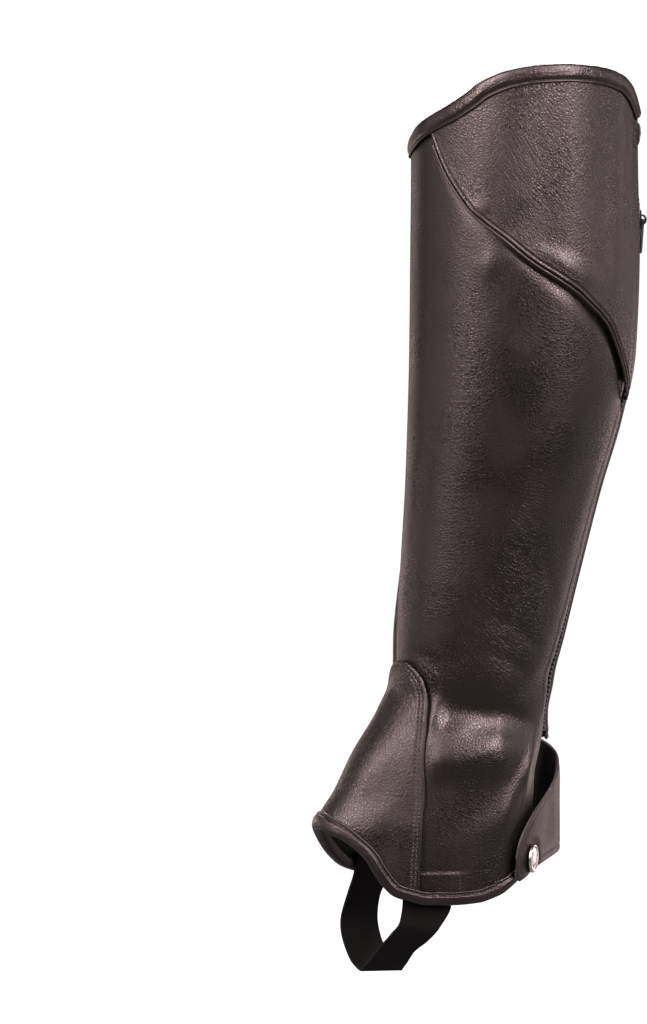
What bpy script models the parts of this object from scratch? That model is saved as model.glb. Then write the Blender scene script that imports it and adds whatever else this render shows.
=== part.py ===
"""A left half chap of brown leather, standing filled out as on a leg, as Blender solids.

Sizes are millimetres in the tables and become metres as each mesh is made. -X is the
toe side, +X the heel side, -Y the outer side and +Z up. The origin is the middle of the
calf hollow, where the leg holds the chap. An angle of 0 is the front of the leg, 90 its
outer side, 180 its back and -90 its inner side; a height is taken from the sole line.
"""

import math

import bmesh
import bpy
import numpy as np
from mathutils import Matrix, Vector

MM = 0.001
CALF_HEIGHT = 305.0

# Leather, fabric and the clearances between pieces
SEAM_GAP = 0.3
LAP_GAP = 0.5
SLOT_GAP = 0.4
PANEL_THICK = 1.6
OVERLAY_THICK = 1.4
VAMP_THICK = 1.4
FLAP_THICK = 1.6
BINDING_THICK = 0.9
TAPE_THICK = 1.0
STRAP_THICK = 1.5
LAPPED = PANEL_THICK + LAP_GAP
VAMP_LIFT = LAPPED + 0.3

# The leg that the leather stands round: nose narrows its front and pinch its back
SECTION_COLUMNS = ("height", "front", "back", "half_width", "nose", "pinch")
SECTIONS = (
    (-20, -113.5, 12.0, 41.5, 0.26, 0.56),
    (20, -113.0, 12.3, 42.0, 0.26, 0.56),
    (45, -110.5, 12.6, 41.5, 0.27, 0.56),
    (62, -100.0, 12.5, 40.5, 0.25, 0.50),
    (80, -90.3, 10.3, 38.5, 0.22, 0.28),
    (100, -76.4, 8.8, 37.0, 0.17, 0.08),
    (115, -69.2, 11.3, 36.5, 0.12, 0.02),
    (145, -67.4, 18.6, 38.0, 0.08, 0.00),
    (180, -64.0, 27.4, 41.0, 0.07, 0.00),
    (215, -61.7, 36.6, 45.0, 0.07, 0.00),
    (250, -60.0, 47.2, 49.5, 0.06, 0.00),
    (285, -58.8, 54.2, 52.5, 0.05, 0.00),
    (330, -58.2, 55.6, 53.5, 0.04, 0.00),
    (380, -57.7, 53.8, 53.5, 0.03, 0.00),
    (440, -58.0, 52.6, 53.0, 0.03, 0.00),
)
PINCH_POWER = 1.5
WIDEST_FROM_BACK = 1.06
WIDEST_FROM_MIDDLE = 22.0

# The largest folds: a trough has a negative depth, and slope turns the long side upwards
FOLD_COLUMNS = ("angle", "height", "half_length", "half_breadth", "slope", "depth")
FOLDS = (
    (70, 104, 30, 9, -4, -3.2),
    (74, 84, 26, 10, 6, 1.8),
    (104, 70, 34, 6, 58, 2.4),
    (92, 62, 26, 8, 64, -1.8),
    (-62, 106, 30, 9, 6, -2.6),
    (-70, 86, 26, 10, -4, 1.6),
    (124, 118, 20, 8, 18, -1.4),
    (76, 345, 46, 12, 84, -1.6),
    (50, 330, 8, 5, 60, 1.2),
    (86, 326, 16, 6, -20, 1.4),
    (-100, 250, 60, 14, 78, -1.5),
    (-58, 180, 50, 12, 80, -1.2),
)
# The folds stay clear of the vamp, beside it and above it
BESIDE_VAMP_FROM = -3.0
BESIDE_VAMP_FADE = 10.0
ABOVE_VAMP_FROM = 120.0
ABOVE_VAMP_FADE = 16.0

# Lower and upper lines of the chap, both at the cut edge of the leather
HEM_LINE = (
    (-118, 31.0),
    (-112, 27.0),
    (-105, 23.6),
    (-95, 20.5),
    (-85, 16.0),
    (-72, 13.6),
    (-60, 15.0),
    (-52, 18.0),
    (-46, 21.0),
    (-40, 25.5),
    (-34, 30.5),
    (-28, 35.5),
    (-20, 41.0),
    (-10, 45.5),
    (2, 47.2),
    (12, 46.2),
    (23, 44.2),
    (32, 40.0),
    (39, 34.0),
    (43.5, 27.0),
    (47.5, 20.8),
    (51.5, 16.6),
    (57, 14.4),
    (63, 12.5),
    (72.5, 11.8),
    (82.5, 12.7),
    (87, 14.6),
    (92, 17.3),
    (101, 21.0),
    (107, 23.4),
    (114, 25.5),
    (122, 30.0),
)
TOP_LINE = (
    (-214, 398.5),
    (-205, 396.5),
    (-190, 392.5),
    (-170, 389.5),
    (-130, 387.5),
    (-90, 386.5),
    (-50, 386.5),
    (-25, 387.5),
    (-13, 390.5),
    (8, 398.0),
    (18, 402.0),
    (27, 405.5),
    (38, 411.5),
    (45, 416.5),
    (50, 419.0),
    (59, 422.3),
    (75, 425.0),
    (88, 425.5),
    (103, 424.5),
    (120, 421.0),
    (130, 416.0),
    (136, 410.5),
    (140, 406.0),
    (143, 402.5),
)
HEEL_ARCH = (
    (-214, 86.0),
    (-195, 86.0),
    (-180, 84.0),
    (-165, 80.5),
    (-150, 74.0),
    (-136, 65.0),
    (-127, 55.0),
    (-121, 45.0),
    (-117, 35.5),
    (-113, 28.5),
    (-108, 24.9),
    (-105, 23.6),
)
HEEL_ARCH_END = -105.0
HEEL_OPENING_TOP = 112.0

# The seams, each as angle at a height or height at an angle
OVERLAY_SEAM = (
    (10, 401.5),
    (15.5, 391.0),
    (20, 383.0),
    (25.2, 374.5),
    (33, 364.3),
    (39.3, 357.1),
    (46.7, 350.7),
    (58, 342.2),
    (70.5, 331.8),
    (82.5, 323.8),
    (92.8, 316.7),
    (101.3, 309.6),
    (107.6, 304.3),
    (113.8, 297.6),
    (120, 288.0),
    (125.6, 280.0),
    (132.5, 271.0),
    (139, 263.5),
    (143, 258.0),
)
OVERLAY_FRONT = 12.0
OVERLAY_LAP_START = 14.0
OVERLAY_LAP_TURN = 5.0
OVERLAY_LAP_RISE = 3.6
FRONT_SEAM = (
    (10, -5.0),
    (60, -6.0),
    (100, -9.0),
    (133, -12.0),
    (150, -14.0),
    (170, -22.0),
    (210, -31.0),
    (260, -38.0),
    (440, -40.0),
)
OUTER_BACK_EDGE = (
    (10, 112.0),
    (25, 117.0),
    (32, 121.0),
    (40, 122.0),
    (50, 120.4),
    (58, 120.0),
    (66, 120.2),
    (72.5, 121.0),
    (78, 123.4),
    (84, 128.5),
    (90, 134.5),
    (96, 139.0),
    (104, 140.8),
    (112, 141.5),
)
VAMP_EDGE = (
    (10, 61.0),
    (20, 61.0),
    (43, 61.0),
    (58, 58.5),
    (73.5, 55.0),
    (97, 46.2),
    (108, 40.5),
)
VAMP_TOP = (
    (-26, 105.0),
    (-22.5, 112.0),
    (-18, 117.5),
    (-11, 123.5),
    (-3, 127.5),
    (6, 129.7),
    (14, 129.6),
    (20, 128.3),
    (23.5, 126.8),
    (31.5, 121.5),
    (35.5, 116.0),
    (38.3, 111.5),
    (42, 105.0),
)
VAMP_LEAN = ((20, 0.0), (60, 0.0), (85, 2.5), (108, 7.5), (130, 7.5))

# The zip up the back of the outer side, which stands open above its slider
ZIP_ANGLE = 145.5
ZIP_LOW = 92.0
ZIP_HALF_GAP = 3.4
ZIP_OPENING = ((60, 0.0), (345, 0.0), (356, 0.3), (400, 4.6))
TAPE_LAP = 6.0
TAPE_END = 3.0
ZIP_TOP_GAP = 1.0
TEETH_CORNERS = ((0.0, 0.0), (1.6, 0.0), (1.6, 1.0), (0.5, 1.7), (0.0, 1.7))
SLIDER_HEIGHT = 350.0
SLIDER_WIDE = 6.0
SLIDER_LONG = 10.0
SLIDER_THICK = 1.2
SLIDER_LIFT = 2.0
SLIDER_ROUNDING = 0.5
BRIDGE_FOOT = 0.7
BRIDGE_OUTER = 3.0
BRIDGE_INNER = 2.0
BRIDGE_WIDE = 2.0
PIVOT_LIFT = 1.0
PULL_LENGTH = 17.0
PULL_WIDE = 4.6
PULL_THICK = 0.9
PULL_BAR = 0.5
PULL_HOLE_WIDE = 2.8
PULL_HOLE_LOW = 4.2
PULL_LEAN = 5.0
ROUND_STEPS = 16

# Bindings: how far each reaches down its faces, how far it rolls over the edge, and its ends
TOP_REACH = 7.0
HEM_REACH = 5.2
BINDING_ROLL = 1.9
TOP_END_OUTER = 407.0
TOP_END_INNER = 400.0
HEM_ENDS = (-104.0, 110.0)
OVERLAY_STACK = ((2, 0.0), (6, 1.0), (200, 1.0))
OVERLAY_ALONE = ((22, 0.0), (28, 1.0), (200, 1.0))
VAMP_STACK = ((0, 1.0), (63, 1.0), (68, 0.0), (130, 0.0))
WELT_HALF = 0.9
WELT_RISE = 1.9
WELT_FRONT = 17.0
WELT_BACK_HEIGHT = 263.5
WELT_BACK_TURN = 1.2

# The heel flap, from its seam on the inner side round the back to its tip
FLAP_COLUMNS = ("angle", "low", "high", "stand")
FLAP = (
    (96.0, 26.5, 33.0, 4.3),
    (96.5, 24.0, 36.0, 4.3),
    (97.5, 21.8, 39.4, 4.3),
    (99.5, 20.8, 42.8, 4.3),
    (102.5, 21.6, 46.4, 4.2),
    (108.0, 22.9, 51.0, 4.1),
    (115.0, 24.2, 55.2, 3.9),
    (124.0, 25.4, 58.3, 3.7),
    (138.0, 25.6, 62.0, 3.6),
    (152.0, 25.4, 65.6, 3.8),
    (166.0, 25.2, 69.5, 4.8),
    (182.0, 26.0, 75.0, 7.0),
    (198.0, 28.0, 80.0, 8.0),
    (212.0, 30.0, 83.5, 6.0),
    (226.0, 32.0, 85.0, 3.4),
    (240.0, 34.0, 85.0, 2.3),
    (252.0, 35.0, 84.0, 2.1),
)
SNAP_ANGLE = 110.0
SNAP_HEIGHT = 30.8
SNAP_PROFILE = (
    (0.0, 1.5),
    (3.6, 1.2),
    (4.9, 0.7),
    (5.4, 0.9),
    (6.2, 1.7),
    (6.9, 1.5),
    (7.2, 0.8),
    (7.0, 0.0),
    (0.0, 0.0),
)

# The elastic strap under the foot, as its two edges from the outer side round to the inner
STRAP_COLUMNS = ("front_x", "front_y", "front_h", "back_x", "back_y", "back_h")
STRAP = (
    (-79.0, -25.4, 30.0, -55.8, -33.6, 26.0),
    (-78.6, -25.8, 22.0, -55.4, -34.0, 18.0),
    (-78.4, -26.6, 12.0, -55.2, -34.2, 9.0),
    (-79.6, -25.8, 1.0, -60.0, -31.8, -2.0),
    (-82.4, -20.0, -7.0, -63.6, -26.0, -9.5),
    (-84.8, -11.0, -15.5, -67.4, -15.5, -18.0),
    (-87.6, -1.5, -25.5, -67.8, -4.5, -27.6),
    (-88.6, 4.5, -30.0, -67.2, 1.5, -30.8),
    (-91.0, 12.0, -26.0, -69.0, 10.0, -27.5),
    (-91.6, 21.6, -16.5, -70.0, 20.5, -19.5),
    (-90.2, 26.4, -7.0, -69.0, 28.8, -10.0),
    (-87.0, 26.0, 4.0, -66.4, 32.0, 1.0),
    (-83.6, 25.2, 15.0, -62.4, 32.6, 10.0),
    (-81.6, 25.0, 26.0, -60.4, 32.4, 21.0),
)

# Mesh grids: steps along each piece and across it
OUTER_GRID = (28, 34)
INNER_GRID = (26, 28)
OVERLAY_GRID = (18, 16)
VAMP_GRID = (20, 13)
FLAP_GRID = (28, 5)
STRAP_GRID = (40, 2)
TOP_STEPS = 56
HEM_STEPS = 52
WELT_STEPS = 36
ZIP_STEPS = 26
TAPE_STEPS = 3
SHARP_FROM = 50.0
ZIP_LOW_SHARE = 1.5
OUTER_LOW_SHARE = 1.45
INNER_LOW_SHARE = 1.3
START_HEIGHT = 200.0
PATCH_ROUNDS = 12
LINE_POINTS = 400
SNAP_STEPS = 24

# Finishes as colour, roughness and metallic
FINISHES = {
    "leather": ((0.050, 0.032, 0.030), 0.48, 0.0),
    "inner_leather": ((0.012, 0.010, 0.010), 0.85, 0.0),
    "binding": ((0.036, 0.023, 0.022), 0.42, 0.0),
    "fabric": ((0.008, 0.008, 0.009), 0.95, 0.0),
    "elastic": ((0.007, 0.007, 0.008), 0.90, 0.0),
    "zip": ((0.010, 0.010, 0.011), 0.40, 0.0),
    "steel": ((0.62, 0.60, 0.58), 0.22, 1.0),
}


def smooth_line(points, values):
    """Value at each of values on the smooth curve through points, level past its ends."""
    xs, ys = np.array(points, float).T
    steps = np.diff(xs)
    rises = np.diff(ys) / steps
    slopes = np.zeros(len(xs))
    slopes[0] = rises[0]
    slopes[-1] = rises[-1]
    for i in range(1, len(xs) - 1):
        if rises[i - 1] * rises[i] > 0:
            before = 2 * steps[i] + steps[i - 1]
            after = steps[i] + 2 * steps[i - 1]
            slopes[i] = (before + after) / (before / rises[i - 1] + after / rises[i])
    values = np.clip(np.asarray(values, float), xs[0], xs[-1])
    k = np.clip(np.searchsorted(xs, values) - 1, 0, len(xs) - 2)
    t = (values - xs[k]) / steps[k]
    return (
        (2 * t**3 - 3 * t**2 + 1) * ys[k]
        + (t**3 - 2 * t**2 + t) * steps[k] * slopes[k]
        + (3 * t**2 - 2 * t**3) * ys[k + 1]
        + (t**3 - t**2) * steps[k] * slopes[k + 1]
    )


def soft_step(values):
    """0 below 0, 1 above 1 and a smooth rise between."""
    t = np.clip(values, 0, 1)
    return t * t * (3 - 2 * t)


def column(columns, rows, name, key, values):
    """Column name of a table, at values of its column key."""
    picked = [(row[columns.index(key)], row[columns.index(name)]) for row in rows]
    return smooth_line(picked, values)


def plain_leg(angle, height):
    """Points of the leg's form before its folds."""
    angle, height = np.broadcast_arrays(np.asarray(angle, float), np.asarray(height, float))
    turn = np.radians(angle)
    front, back, half, nose, pinch = (
        column(SECTION_COLUMNS, SECTIONS, name, "height", height)
        for name in SECTION_COLUMNS[1:]
    )
    middle = (front + back) / 2
    widest = np.clip(back - half * WIDEST_FROM_BACK, middle, middle + WIDEST_FROM_MIDDLE)
    ahead = np.cos(turn)
    reach = np.where(ahead > 0, widest - front, back - widest)
    side = (1 - nose * np.maximum(ahead, 0)) * (1 - pinch * np.maximum(-ahead, 0) ** PINCH_POWER)
    return np.stack([widest - reach * ahead, -half * np.sin(turn) * side, height], axis=-1)


def leg_normal(angle, height, step=0.5):
    """Outward unit normals of the leg's form before its folds."""
    angle, height = np.broadcast_arrays(np.asarray(angle, float), np.asarray(height, float))
    round_it = plain_leg(angle + step, height) - plain_leg(angle - step, height)
    up_it = plain_leg(angle, height + step) - plain_leg(angle, height - step)
    normal = np.cross(round_it, up_it)
    return normal / np.linalg.norm(normal, axis=-1, keepdims=True)


def fold_depth(angle, height):
    """How far the folds move the leather outwards."""
    angle, height = np.broadcast_arrays(np.asarray(angle, float), np.asarray(height, float))
    total = np.zeros(angle.shape)
    for row in FOLDS:
        fold = dict(zip(FOLD_COLUMNS, row))
        per_degree = math.radians(1) * column(
            SECTION_COLUMNS, SECTIONS, "half_width", "height", fold["height"]
        )
        apart = (angle - fold["angle"] + 180) % 360 - 180
        across = apart * per_degree
        up = height - fold["height"]
        slope = math.radians(fold["slope"])
        along = across * math.cos(slope) + up * math.sin(slope)
        beside_it = up * math.cos(slope) - across * math.sin(slope)
        total += fold["depth"] * np.exp(
            -((along / fold["half_length"]) ** 2) - (beside_it / fold["half_breadth"]) ** 2
        )
    past_vamp = np.abs(angle - smooth_line(VAMP_LEAN, height)) - smooth_line(VAMP_EDGE, height)
    beside = soft_step((past_vamp - BESIDE_VAMP_FROM) / BESIDE_VAMP_FADE)
    above = soft_step((height - ABOVE_VAMP_FROM) / ABOVE_VAMP_FADE)
    return total * np.maximum(beside, above)


def on_leg(angle, height, out):
    """Points that stand out from the leather's inner face."""
    lift = np.asarray(out, float) + fold_depth(angle, height)
    return plain_leg(angle, height) + leg_normal(angle, height) * lift[..., None]


def aside(angle, height, distance):
    """The angle that is distance further round at this height."""
    step = np.linalg.norm(
        plain_leg(np.asarray(angle) + 0.5, height) - plain_leg(np.asarray(angle) - 0.5, height),
        axis=-1,
    )
    return angle + distance / step


def shade(mesh, angle_deg):
    """Smooth shading, with edges sharper than this angle kept sharp."""
    mesh.shade_smooth()
    mesh.set_sharp_from_angle(angle=math.radians(angle_deg))


def in_metres(points):
    """World points of millimetre points whose height is taken from the sole line."""
    moved = np.array(points, float)
    moved[..., 2] -= CALF_HEIGHT
    return moved * MM


def material(name):
    """The Principled material of a finish."""
    found = bpy.data.materials.get(name)
    if found:
        return found
    colour, roughness, metallic = FINISHES[name]
    made = bpy.data.materials.new(name)
    made.use_nodes = True
    shader = made.node_tree.nodes["Principled BSDF"]
    shader.inputs["Base Color"].default_value = (*colour, 1.0)
    shader.inputs["Roughness"].default_value = roughness
    shader.inputs["Metallic"].default_value = metallic
    made.diffuse_color = (*colour, 1.0)
    return made


def add_object(name, data, finish, collection):
    """An object of this mesh or curve, in its collection."""
    obj = bpy.data.objects.new(name, data)
    data.materials.append(material(finish))
    collection.objects.link(obj)
    return obj


def grid_mesh(name, points):
    """A mesh over a grid of points, made from Blender's own grid."""
    rows, columns = points.shape[:2]
    bm = bmesh.new()
    bmesh.ops.create_grid(bm, x_segments=columns - 1, y_segments=rows - 1, size=1.0)
    placed = in_metres(points)
    for vert in bm.verts:
        i = round((vert.co.y + 1) / 2 * (rows - 1))
        j = round((vert.co.x + 1) / 2 * (columns - 1))
        vert.co = placed[i, j]
    mesh = bpy.data.meshes.new(name)
    return bm, mesh


def add_sheet(name, points, thick, finish, collection, flip=False):
    """A sheet whose grid of points is its inner face and whose thickness goes outwards."""
    bm, mesh = grid_mesh(name, points)
    if flip:
        bmesh.ops.reverse_faces(bm, faces=bm.faces)
    bm.to_mesh(mesh)
    bm.free()
    shade(mesh, SHARP_FROM)
    obj = add_object(name, mesh, finish, collection)
    wall = obj.modifiers.new("wall", "SOLIDIFY")
    wall.thickness = thick * MM
    wall.offset = 1.0
    wall.use_even_offset = False
    return obj


def add_roll(name, rings, finish, collection):
    """A closed bar through rings of points, with flat ends."""
    closed = np.concatenate([rings, rings[:, :1]], axis=1)
    bm, mesh = grid_mesh(name, closed)
    bmesh.ops.remove_doubles(bm, verts=bm.verts, dist=0.01 * MM)
    bmesh.ops.holes_fill(bm, edges=[edge for edge in bm.edges if edge.is_boundary])
    bmesh.ops.triangulate(bm, faces=[face for face in bm.faces if len(face.verts) > 4])
    bmesh.ops.recalc_face_normals(bm, faces=bm.faces)
    bm.to_mesh(mesh)
    bm.free()
    shade(mesh, SHARP_FROM)
    return add_object(name, mesh, finish, collection)


def patch(side_a, side_b, low, high, grid, low_share=1.0):
    """Angles and heights of a grid between two side seams and two lines across.

    side_a and side_b give an angle at a height; low and high give a height at an angle.
    low_share over 1 puts more of the rows in the lower part.
    """
    round_steps, up_steps = grid
    rises = np.linspace(0, 1, up_steps + 1) ** low_share
    up, across = np.meshgrid(rises, np.linspace(0, 1, round_steps + 1), indexing="ij")
    angle = side_a(START_HEIGHT) * (1 - across) + side_b(START_HEIGHT) * across
    for _ in range(PATCH_ROUNDS):
        height = low(angle) * (1 - up) + high(angle) * up
        angle = side_a(height) * (1 - across) + side_b(height) * across
    return angle, height


def edge_rings(angles, heights, profile, inward):
    """Rings of a profile swept along a line on the leg.

    Each ring point is given as distance inwards from the line, over the leather, and
    distance out from its inner face. inward is 1 where the leather is above the line.
    """
    points = plain_leg(angles, heights)
    normals = leg_normal(angles, heights)
    tangents = np.gradient(points, axis=0)
    per_angle = plain_leg(angles + 0.5, heights) - plain_leg(angles - 0.5, heights)
    per_height = plain_leg(angles, heights + 0.5) - plain_leg(angles, heights - 0.5)
    rings = []
    for i in range(len(angles)):
        direction = np.cross(tangents[i], normals[i])
        direction *= inward / np.linalg.norm(direction)
        if direction[2] * inward < 0:
            direction = -direction
        basis = np.stack([per_angle[i], per_height[i]], axis=1)
        turn, rise = np.linalg.lstsq(basis, direction, rcond=None)[0]
        across, out = np.array(profile(angles[i]), float).T
        rings.append(on_leg(angles[i] + turn * across, heights[i] + rise * across, out))
    return np.array(rings)


def even_steps(points_angle, points_height, steps):
    """Angles and heights spaced evenly by length along a line on the leg."""
    points = plain_leg(points_angle, points_height)
    lengths = np.concatenate([[0], np.cumsum(np.linalg.norm(np.diff(points, axis=0), axis=1))])
    wanted = np.linspace(0, lengths[-1], steps + 1)
    return np.interp(wanted, lengths, points_angle), np.interp(wanted, lengths, points_height)


def binding_profile(inside, outside, reach, roll):
    """A strip folded over an edge: points as distance over the leather and distance out."""
    slot_in = inside - SLOT_GAP
    slot_out = outside + SLOT_GAP
    face_in = slot_in - BINDING_THICK
    face_out = slot_out + BINDING_THICK
    middle = (face_in + face_out) / 2
    half = (face_out - face_in) / 2
    return (
        (reach, face_out - 0.35),
        (reach - 0.6, face_out + 0.05),
        (reach * 0.5, face_out + 0.45),
        (0.6, face_out + 0.10),
        (-0.35 * roll, middle + half * 0.86),
        (-roll, middle + half * 0.40),
        (-roll, middle - half * 0.40),
        (-0.35 * roll, middle - half * 0.86),
        (0.6, face_in),
        (reach * 0.85, face_in),
        (reach * 0.85, slot_in),
        (-LAP_GAP, slot_in),
        (-LAP_GAP, slot_out),
        (reach, slot_out),
    )


def top_profile(angle):
    """Section of the top binding at an angle."""
    stack = float(smooth_line(OVERLAY_STACK, angle))
    alone = float(smooth_line(OVERLAY_ALONE, angle))
    outside = PANEL_THICK + stack * (LAP_GAP + OVERLAY_THICK)
    return binding_profile(alone * LAPPED, outside, TOP_REACH, BINDING_ROLL)


def hem_profile(angle):
    """Section of the hem binding at an angle."""
    stack = float(smooth_line(VAMP_STACK, abs(angle)))
    outside = PANEL_THICK + stack * (VAMP_LIFT - PANEL_THICK + VAMP_THICK)
    return binding_profile(0.0, outside, HEM_REACH, BINDING_ROLL)


def welt_profile(_angle):
    """Section of the piping under the overlay's edge."""
    base = LAPPED
    centre = -SEAM_GAP - WELT_HALF
    return (
        (centre + WELT_HALF, base),
        (centre + WELT_HALF, base + WELT_RISE * 0.55),
        (centre + WELT_HALF * 0.5, base + WELT_RISE * 0.95),
        (centre - WELT_HALF * 0.5, base + WELT_RISE * 0.85),
        (centre - WELT_HALF, base + WELT_RISE * 0.40),
        (centre - WELT_HALF, base),
    )


def hem_height(angle):
    """Height of the hem's cut edge."""
    return smooth_line(HEM_LINE, angle)


def top_height(angle):
    """Height of the top's cut edge."""
    return smooth_line(TOP_LINE, angle)


def overlay_low(angle):
    """Height of the overlay's lower seam."""
    return smooth_line(OVERLAY_SEAM, angle)


def outer_top(angle):
    """Top of the outer panel: the chap's top line, then a lap under the overlay."""
    under = smooth_line(OVERLAY_SEAM, angle - OVERLAY_LAP_TURN) + OVERLAY_LAP_RISE
    lapped = np.minimum(top_height(angle), under)
    return np.where(np.asarray(angle) < OVERLAY_LAP_START, top_height(angle), lapped)


def front_seam(height):
    """Angle of the seam between the outer and the inner panel."""
    return smooth_line(FRONT_SEAM, height)


def opening(height, side):
    """How far the zip has drawn apart: it is the inner side that stands away."""
    return smooth_line(ZIP_OPENING, height) * (side > 0)


def outer_back(height):
    """Angle of the outer panel's back edge, along the zip and round the heel opening."""
    at_zip = aside(ZIP_ANGLE, height, -ZIP_HALF_GAP)
    at_heel = smooth_line(OUTER_BACK_EDGE, height)
    return np.where(np.asarray(height) < HEEL_OPENING_TOP, np.minimum(at_heel, at_zip), at_zip)


def inner_back(height):
    """Angle of the inner panel's back edge, counted the long way round."""
    return aside(ZIP_ANGLE, height, ZIP_HALF_GAP + opening(height, 1)) - 360.0


def inner_low(angle):
    """Lower edge of the inner panel: the arch over the heel, then the hem."""
    arch = smooth_line(HEEL_ARCH, angle)
    return np.where(np.asarray(angle) < HEEL_ARCH_END, arch, hem_height(angle))


def vamp_side(sign):
    """The vamp's edge on the outer side for 1, and on the inner side for -1."""

    def edge(height):
        lean = smooth_line(VAMP_LEAN, height)
        half = smooth_line(VAMP_EDGE, height) - lean
        return lean + sign * half

    return edge


def vamp_top(angle):
    """Height of the vamp's rounded top."""
    return smooth_line(VAMP_TOP, angle)


def build_panels(collection):
    """The leather panels: outer, inner, overlay and vamp."""
    angle, height = patch(
        front_seam, outer_back, hem_height, outer_top, OUTER_GRID, OUTER_LOW_SHARE
    )
    add_sheet("outer_panel", on_leg(angle, height, 0.0), PANEL_THICK, "leather", collection)
    angle, height = patch(
        inner_back,
        lambda h: aside(front_seam(h), h, -SEAM_GAP),
        inner_low,
        top_height,
        INNER_GRID,
        INNER_LOW_SHARE,
    )
    add_sheet("inner_panel", on_leg(angle, height, 0.0), PANEL_THICK, "inner_leather", collection)
    angle, height = patch(
        lambda h: OVERLAY_FRONT + 0 * h, outer_back, overlay_low, top_height, OVERLAY_GRID
    )
    add_sheet("top_overlay", on_leg(angle, height, LAPPED), OVERLAY_THICK, "leather", collection)
    angle, height = patch(vamp_side(-1), vamp_side(1), hem_height, vamp_top, VAMP_GRID)
    add_sheet("vamp", on_leg(angle, height, VAMP_LIFT), VAMP_THICK, "leather", collection)


def build_edges(collection):
    """The rolled bindings and the piping of the overlay's seam."""
    first, last = float(inner_back(TOP_END_INNER)), float(outer_back(TOP_END_OUTER))
    dense = np.linspace(first, last, LINE_POINTS)
    angles, heights = even_steps(dense, top_height(dense), TOP_STEPS)
    add_roll("top_binding", edge_rings(angles, heights, top_profile, -1), "binding", collection)
    dense = np.linspace(*HEM_ENDS, LINE_POINTS)
    angles, heights = even_steps(dense, hem_height(dense), HEM_STEPS)
    add_roll("hem_binding", edge_rings(angles, heights, hem_profile, 1), "binding", collection)
    last = float(outer_back(WELT_BACK_HEIGHT)) - WELT_BACK_TURN
    dense = np.linspace(WELT_FRONT, last, LINE_POINTS)
    angles, heights = even_steps(dense, overlay_low(dense), WELT_STEPS)
    add_roll("overlay_welt", edge_rings(angles, heights, welt_profile, 1), "binding", collection)


def zip_line(side, height, distance):
    """Angle of a line along the zip, at a distance from its middle on side -1 or 1."""
    return aside(ZIP_ANGLE, height, side * (opening(height, side) + SEAM_GAP / 2 + distance))


def build_zip(collection):
    """The two tapes and rows of teeth."""
    ends = ((-1, "outer", outer_back(TOP_END_OUTER)), (1, "inner", inner_back(TOP_END_INNER)))
    for side, name, end in ends:
        high = float(top_height(end)) - TOP_REACH - ZIP_TOP_GAP
        rises = np.linspace(0, 1, ZIP_STEPS + 1) ** ZIP_LOW_SHARE
        heights = ZIP_LOW - TAPE_END + (high - ZIP_LOW + TAPE_END) * rises
        spread = np.linspace(ZIP_HALF_GAP + TAPE_LAP, 0.0, TAPE_STEPS + 1)
        lines = [zip_line(side, heights, distance) for distance in spread]
        if side > 0:
            lines.reverse()
        angles = np.stack(lines, axis=1)
        tape = on_leg(angles, heights[:, None] + 0 * angles, -LAP_GAP - TAPE_THICK)
        add_sheet(f"zip_tape_{name}", tape, TAPE_THICK, "fabric", collection)
        heights = ZIP_LOW + (high - ZIP_LOW) * rises
        rings = [
            on_leg(zip_line(side, heights, across), heights, rise)
            for across, rise in TEETH_CORNERS
        ]
        add_roll(f"zip_teeth_{name}", np.stack(rings, axis=1), "zip", collection)


def frame_at(angle, height, out):
    """World matrix of a place on the leg: X outwards, Y round the leg, Z up the leather."""
    normal = Vector(leg_normal(angle, height))
    round_it = Vector(plain_leg(angle + 0.5, height) - plain_leg(angle - 0.5, height))
    up = normal.cross(round_it).normalized()
    round_it = up.cross(normal).normalized()
    matrix = Matrix((normal, round_it, up)).transposed().to_4x4()
    matrix.translation = Vector(in_metres(on_leg(angle, height, out)))
    return matrix


def flat_curve(name, outlines, thick):
    """A filled flat curve of closed outlines, thick across its own plane."""
    curve = bpy.data.curves.new(name, "CURVE")
    curve.dimensions = "2D"
    curve.fill_mode = "BOTH"
    curve.extrude = thick / 2 * MM
    for outline in outlines:
        spline = curve.splines.new("POLY")
        spline.points.add(len(outline) - 1)
        for point, (x, y) in zip(spline.points, outline):
            point.co = (x * MM, y * MM, 0, 1)
        spline.use_cyclic_u = True
    return curve


def arc(radius, start_deg, end_deg, steps, centre=(0.0, 0.0)):
    """Points of an arc."""
    return [
        (centre[0] + radius * math.cos(turn), centre[1] + radius * math.sin(turn))
        for turn in np.radians(np.linspace(start_deg, end_deg, steps + 1))
    ]


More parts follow.
